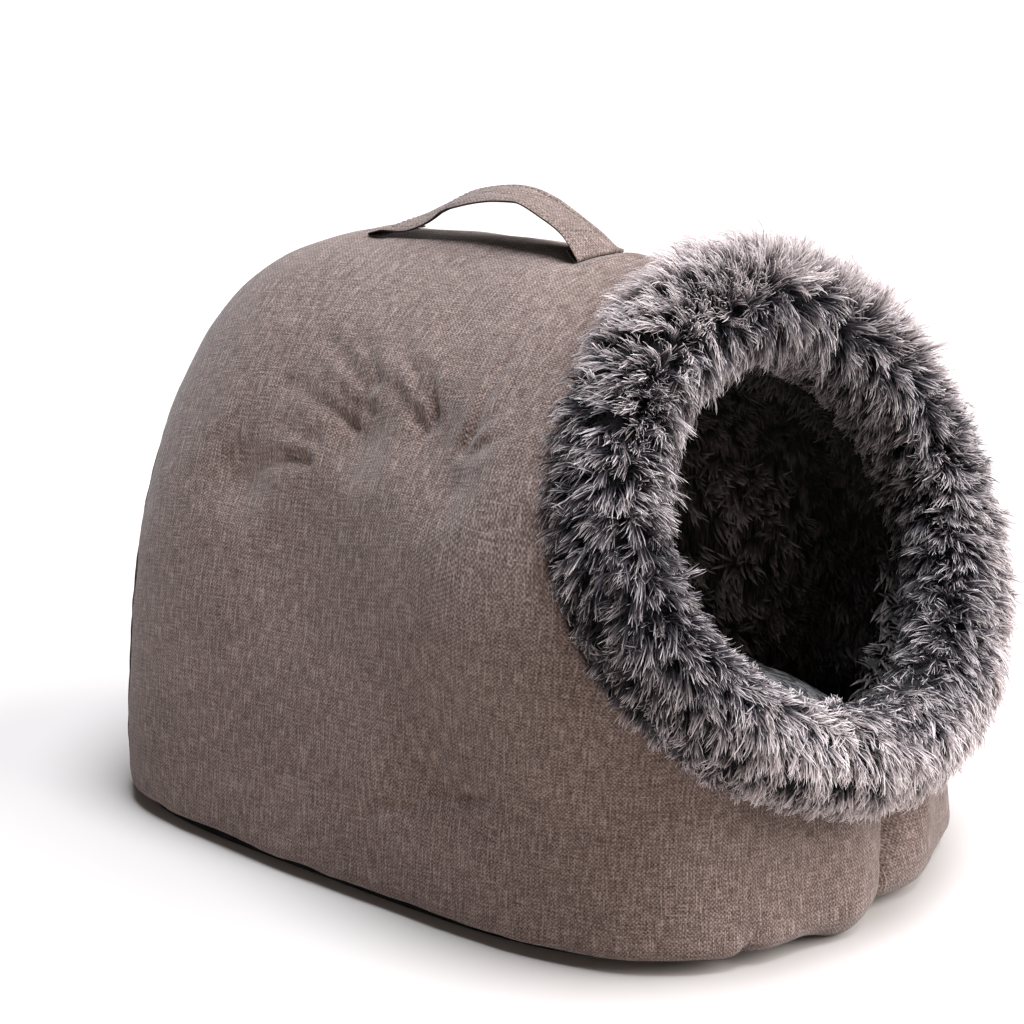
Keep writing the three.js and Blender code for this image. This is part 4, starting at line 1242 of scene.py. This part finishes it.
def lock_lies(angle, turn, under, area, length, upright, draw):
    """How far each lock leans round the roll and sways along it, and its rise and run in metres."""
    locks = len(angle)
    away = turn - parting(angle)
    drift = 0.4 * np.sin(7 * angle + 1.3) + 0.3 * np.sin(13 * angle) + 0.5 * draw.standard_normal(locks)
    loose = (0.14 + 0.14 * area["near_parting"]) * drift
    lean = np.tanh((away + loose) / 0.5) * draw.uniform(0.55, 1.0, locks)
    gravity = 0.62 - 0.22 * smooth((away - 0.3) / 0.8) + 0.4 * area["side_inside"]
    sway = -gravity * roll_along(angle)[:, 2] + 0.3 * drift + 0.22 * draw.standard_normal(locks)
    reach = 1 + 0.13 * np.sin(angle) + 0.05 * np.cos(angle)
    reach *= 1 - 0.24 * area["low_corner"] * smooth(turn - 4.7)
    length = draw.uniform(*length, locks) * reach * np.where(under, UNDER_FUR_LENGTH, 1.0)
    length *= 1 - 0.28 * area["side_inside"] - 0.26 * area["side_outside"]
    upright = draw.uniform(*upright, locks) + 0.12 * area["near_parting"]
    upright *= 1 - 0.72 * area["below"]
    upright = np.minimum(upright + 0.3 * area["above"], MOST_UPRIGHT)
    upright *= 1 - 0.3 * area["side_inside"] - 0.12 * area["side_outside"]
    upright += 0.75 * area["facing"] * (MOST_UPRIGHT - upright)
    rise = length * upright
    run = np.sqrt(length**2 - rise**2) / np.maximum(np.hypot(lean, sway), 0.35)
    return lean, sway, rise, run


def strand_paths(angle, turn, lie, near_parting, draw):
    """The path and the flat side of each strand. Strands gather in their lock and part at its tip."""
    each_lock = functools.partial(np.repeat, repeats=FUR_STRANDS, axis=0)
    bend = (0.0016 + 0.0012 * near_parting[:, None]) * draw.standard_normal((len(angle), 3))
    lean, sway, rise, run = (each_lock(values)[:, None] for values in lie)
    angle, turn = each_lock(angle), each_lock(turn)
    count = len(angle)
    share = FUR_SHARES[None, :]
    root_turn = turn + LOCK_SPREAD / CORE_RADIUS * draw.standard_normal(count)
    root_angle = angle + LOCK_SPREAD / ROLL_REACH * draw.standard_normal(count)
    gather = 0.52 * smooth(share * 1.6) - 0.30 * smooth((share - 0.55) / 0.45)
    own = draw.uniform(0.8, 1.12, count)[:, None]
    gone = own * run * share**1.4
    path_turn = root_turn[:, None] + (turn - root_turn)[:, None] * gather + gone * lean / FUR_MID_RADIUS
    path_angle = root_angle[:, None] + (angle - root_angle)[:, None] * gather + gone * sway / ROLL_REACH
    height = own * rise * (1 - (1 - share) ** 1.5)
    path = beside_roll(path_angle, path_turn, CORE_RADIUS - FUR_ROOT_DEPTH + height)
    path += each_lock(bend)[:, None] * (share**2)[..., None]
    curl = FUR_CURL * draw.standard_normal((count, 2, 1, 3))
    path += curl[:, 0] * (share**1.5)[..., None] + curl[:, 1] * np.sin(math.pi * share)[..., None]
    path[..., 2] -= FUR_SAG * share**2
    normal = unit(path[:, 1] - roll_centre(path_angle[:, 1]))
    flat_side = unit(np.cross(normal, unit(path[:, -1] - path[:, 0])))
    tilt = draw.uniform(-1.1, 1.1, (count, 1))
    return path, (flat_side * np.cos(tilt) + normal * np.sin(tilt))[:, None]


def lock_painted_light(angle, turn, under, area):
    """Painted light and shade that each lock's place adds to its tint, even over the lock: paler on
    top, low at -X, at the lower corner at +X and on the outer side of the roll, where light falls, and
    painted shade on the side at -X and on the locks at +X that face forward into the mouth.
    """
    side = hill(angle, math.pi, 0.65)
    low_side = hill(angle, 4.2, 0.5)
    pale = 0.6 * area["above"] * (0.2 + 0.8 * smooth(np.cos(angle) + 0.7)) + 0.28 * low_side
    pale += 0.4 * area["low_corner"] * smooth((turn - 4.0) / 0.6) - 0.18 * side - 0.1 * area["facing"]
    outlying = smooth((turn - 5.2) / 0.7) * smooth(0.45 + np.sin(angle + 0.9))
    return pale + np.where(under, 0.25, 0.5) * outlying


def fur_locks(turns, locks, length, upright, draw):
    """Paths, sides, widths and tints of the strands of one part of the fur."""
    angle = draw.uniform(0, 2 * math.pi, locks)
    turn = np.radians(draw.uniform(*turns, locks))
    under = draw.random(locks) < UNDER_FUR_SHARE
    area = fur_areas(angle, turn)
    lie = lock_lies(angle, turn, under, area, length, upright, draw)
    path, side = strand_paths(angle, turn, lie, area["near_parting"], draw)
    width = draw.uniform(*FUR_WIDTH, len(path))
    patch = 0.5 + 0.25 * np.sin(4 * angle + 2 * turn + 0.8) + 0.25 * np.sin(11 * angle - 3 * turn)
    lock_tint = np.where(under, 0.3, 1.0) * (0.75 * draw.random(locks) + 0.25 * patch)
    # The lock's painted light and shade is added here to its own random tint.
    lock_tint = 0.45 * lock_tint + lock_painted_light(angle, turn, under, area)
    return path, side, width, np.repeat(lock_tint, FUR_STRANDS) + 0.55 * draw.random(len(path))


draw = np.random.default_rng(FUR_SEED)
for name, turns, locks, length, upright in FUR_PARTS:
    path, side, width, tint = fur_locks(turns, locks, length, upright, draw)
    if turns[1] > 330:
        path[:, 2:] = clear_of_wrap(path[:, 2:])
    pile_piece(name, path, side, width, tint, FUR_SHARES, FUR_BLUNTNESS, FUR_PILE, "fur")

# The studio: a plain pale floor, a soft white room, and the lamps that light the bed from the
# front, at +X, and from above. The camera stands at the photograph's viewing angle.
FLOOR_COLOUR = (0.50, 0.456, 0.428)
FLOOR_HALF = 20.0
ROOM_COLOUR = (1.0, 0.93, 0.87)
ROOM_LIGHT = 0.11


def floor_finish():
    material, tree = new_finish("pale_floor", roughness=0.7)
    place = add_node(tree, "ShaderNodeNewGeometry", {}).outputs["Position"]
    cloud = between(tree, uneven(tree, place, 0.4), 0.3, 0.7)
    colour = mix_colours(tree, cloud, FLOOR_COLOUR, tuple(0.985 * c for c in FLOOR_COLOUR))
    tree.links.new(colour, tree.nodes["Principled BSDF"].inputs["Base Color"])
    return material


floor_mesh = bpy.data.meshes.new("floor")
floor_corners = [(x * FLOOR_HALF, y * FLOOR_HALF, 0) for x, y in ((-1, -1), (1, -1), (1, 1), (-1, 1))]
floor_mesh.from_pydata(floor_corners, [], [(0, 1, 2, 3)])
floor_mesh.materials.append(floor_finish())
floor = put_in_scene("floor", floor_mesh)

room = bpy.data.worlds.new("room")
room.use_nodes = True
room.node_tree.nodes["Background"].inputs["Color"].default_value = (*ROOM_COLOUR, 1)
room.node_tree.nodes["Background"].inputs["Strength"].default_value = ROOM_LIGHT
bpy.context.scene.world = room
bpy.context.scene.view_settings.view_transform = "Standard"

# Each lamp: the way its light comes from, how wide it is in degrees, its strength and its colour.
LAMPS = (
    ("key_lamp", (0.50, -0.90, 0.72), 45, 5.0, (0.985, 0.995, 1.01)),
    ("top_lamp", (0.03, -0.20, 1.0), 30, 5.9, (0.93, 1.005, 1.10)),
    ("fill_lamp", (-0.62, -0.75, 0.30), 30, 0.24, (1.0, 0.98, 0.96)),
)


def hang_lamp(name, way, width, strength, colour):
    light = bpy.data.lights.new(name, "SUN")
    light.angle = math.radians(width)
    light.energy = strength
    light.color = colour
    lamp = put_in_scene(name, light)
    lamp.rotation_euler = Vector(way).to_track_quat("Z", "Y").to_euler()


for lamp in LAMPS:
    hang_lamp(*lamp)

CAMERA_PLACE = Vector((-0.7816, -0.6225, 0.4267))
CAMERA_TARGET = Vector((-0.00866, 0.01532, 0.14231))
camera_data = bpy.data.cameras.new("camera")
camera_data.lens = 80.86
camera_data.clip_end = 50
camera = put_in_scene("camera", camera_data)
camera.location = CAMERA_PLACE
camera.rotation_euler = (CAMERA_TARGET - CAMERA_PLACE).to_track_quat("-Z", "Y").to_euler()
bpy.context.scene.camera = camera
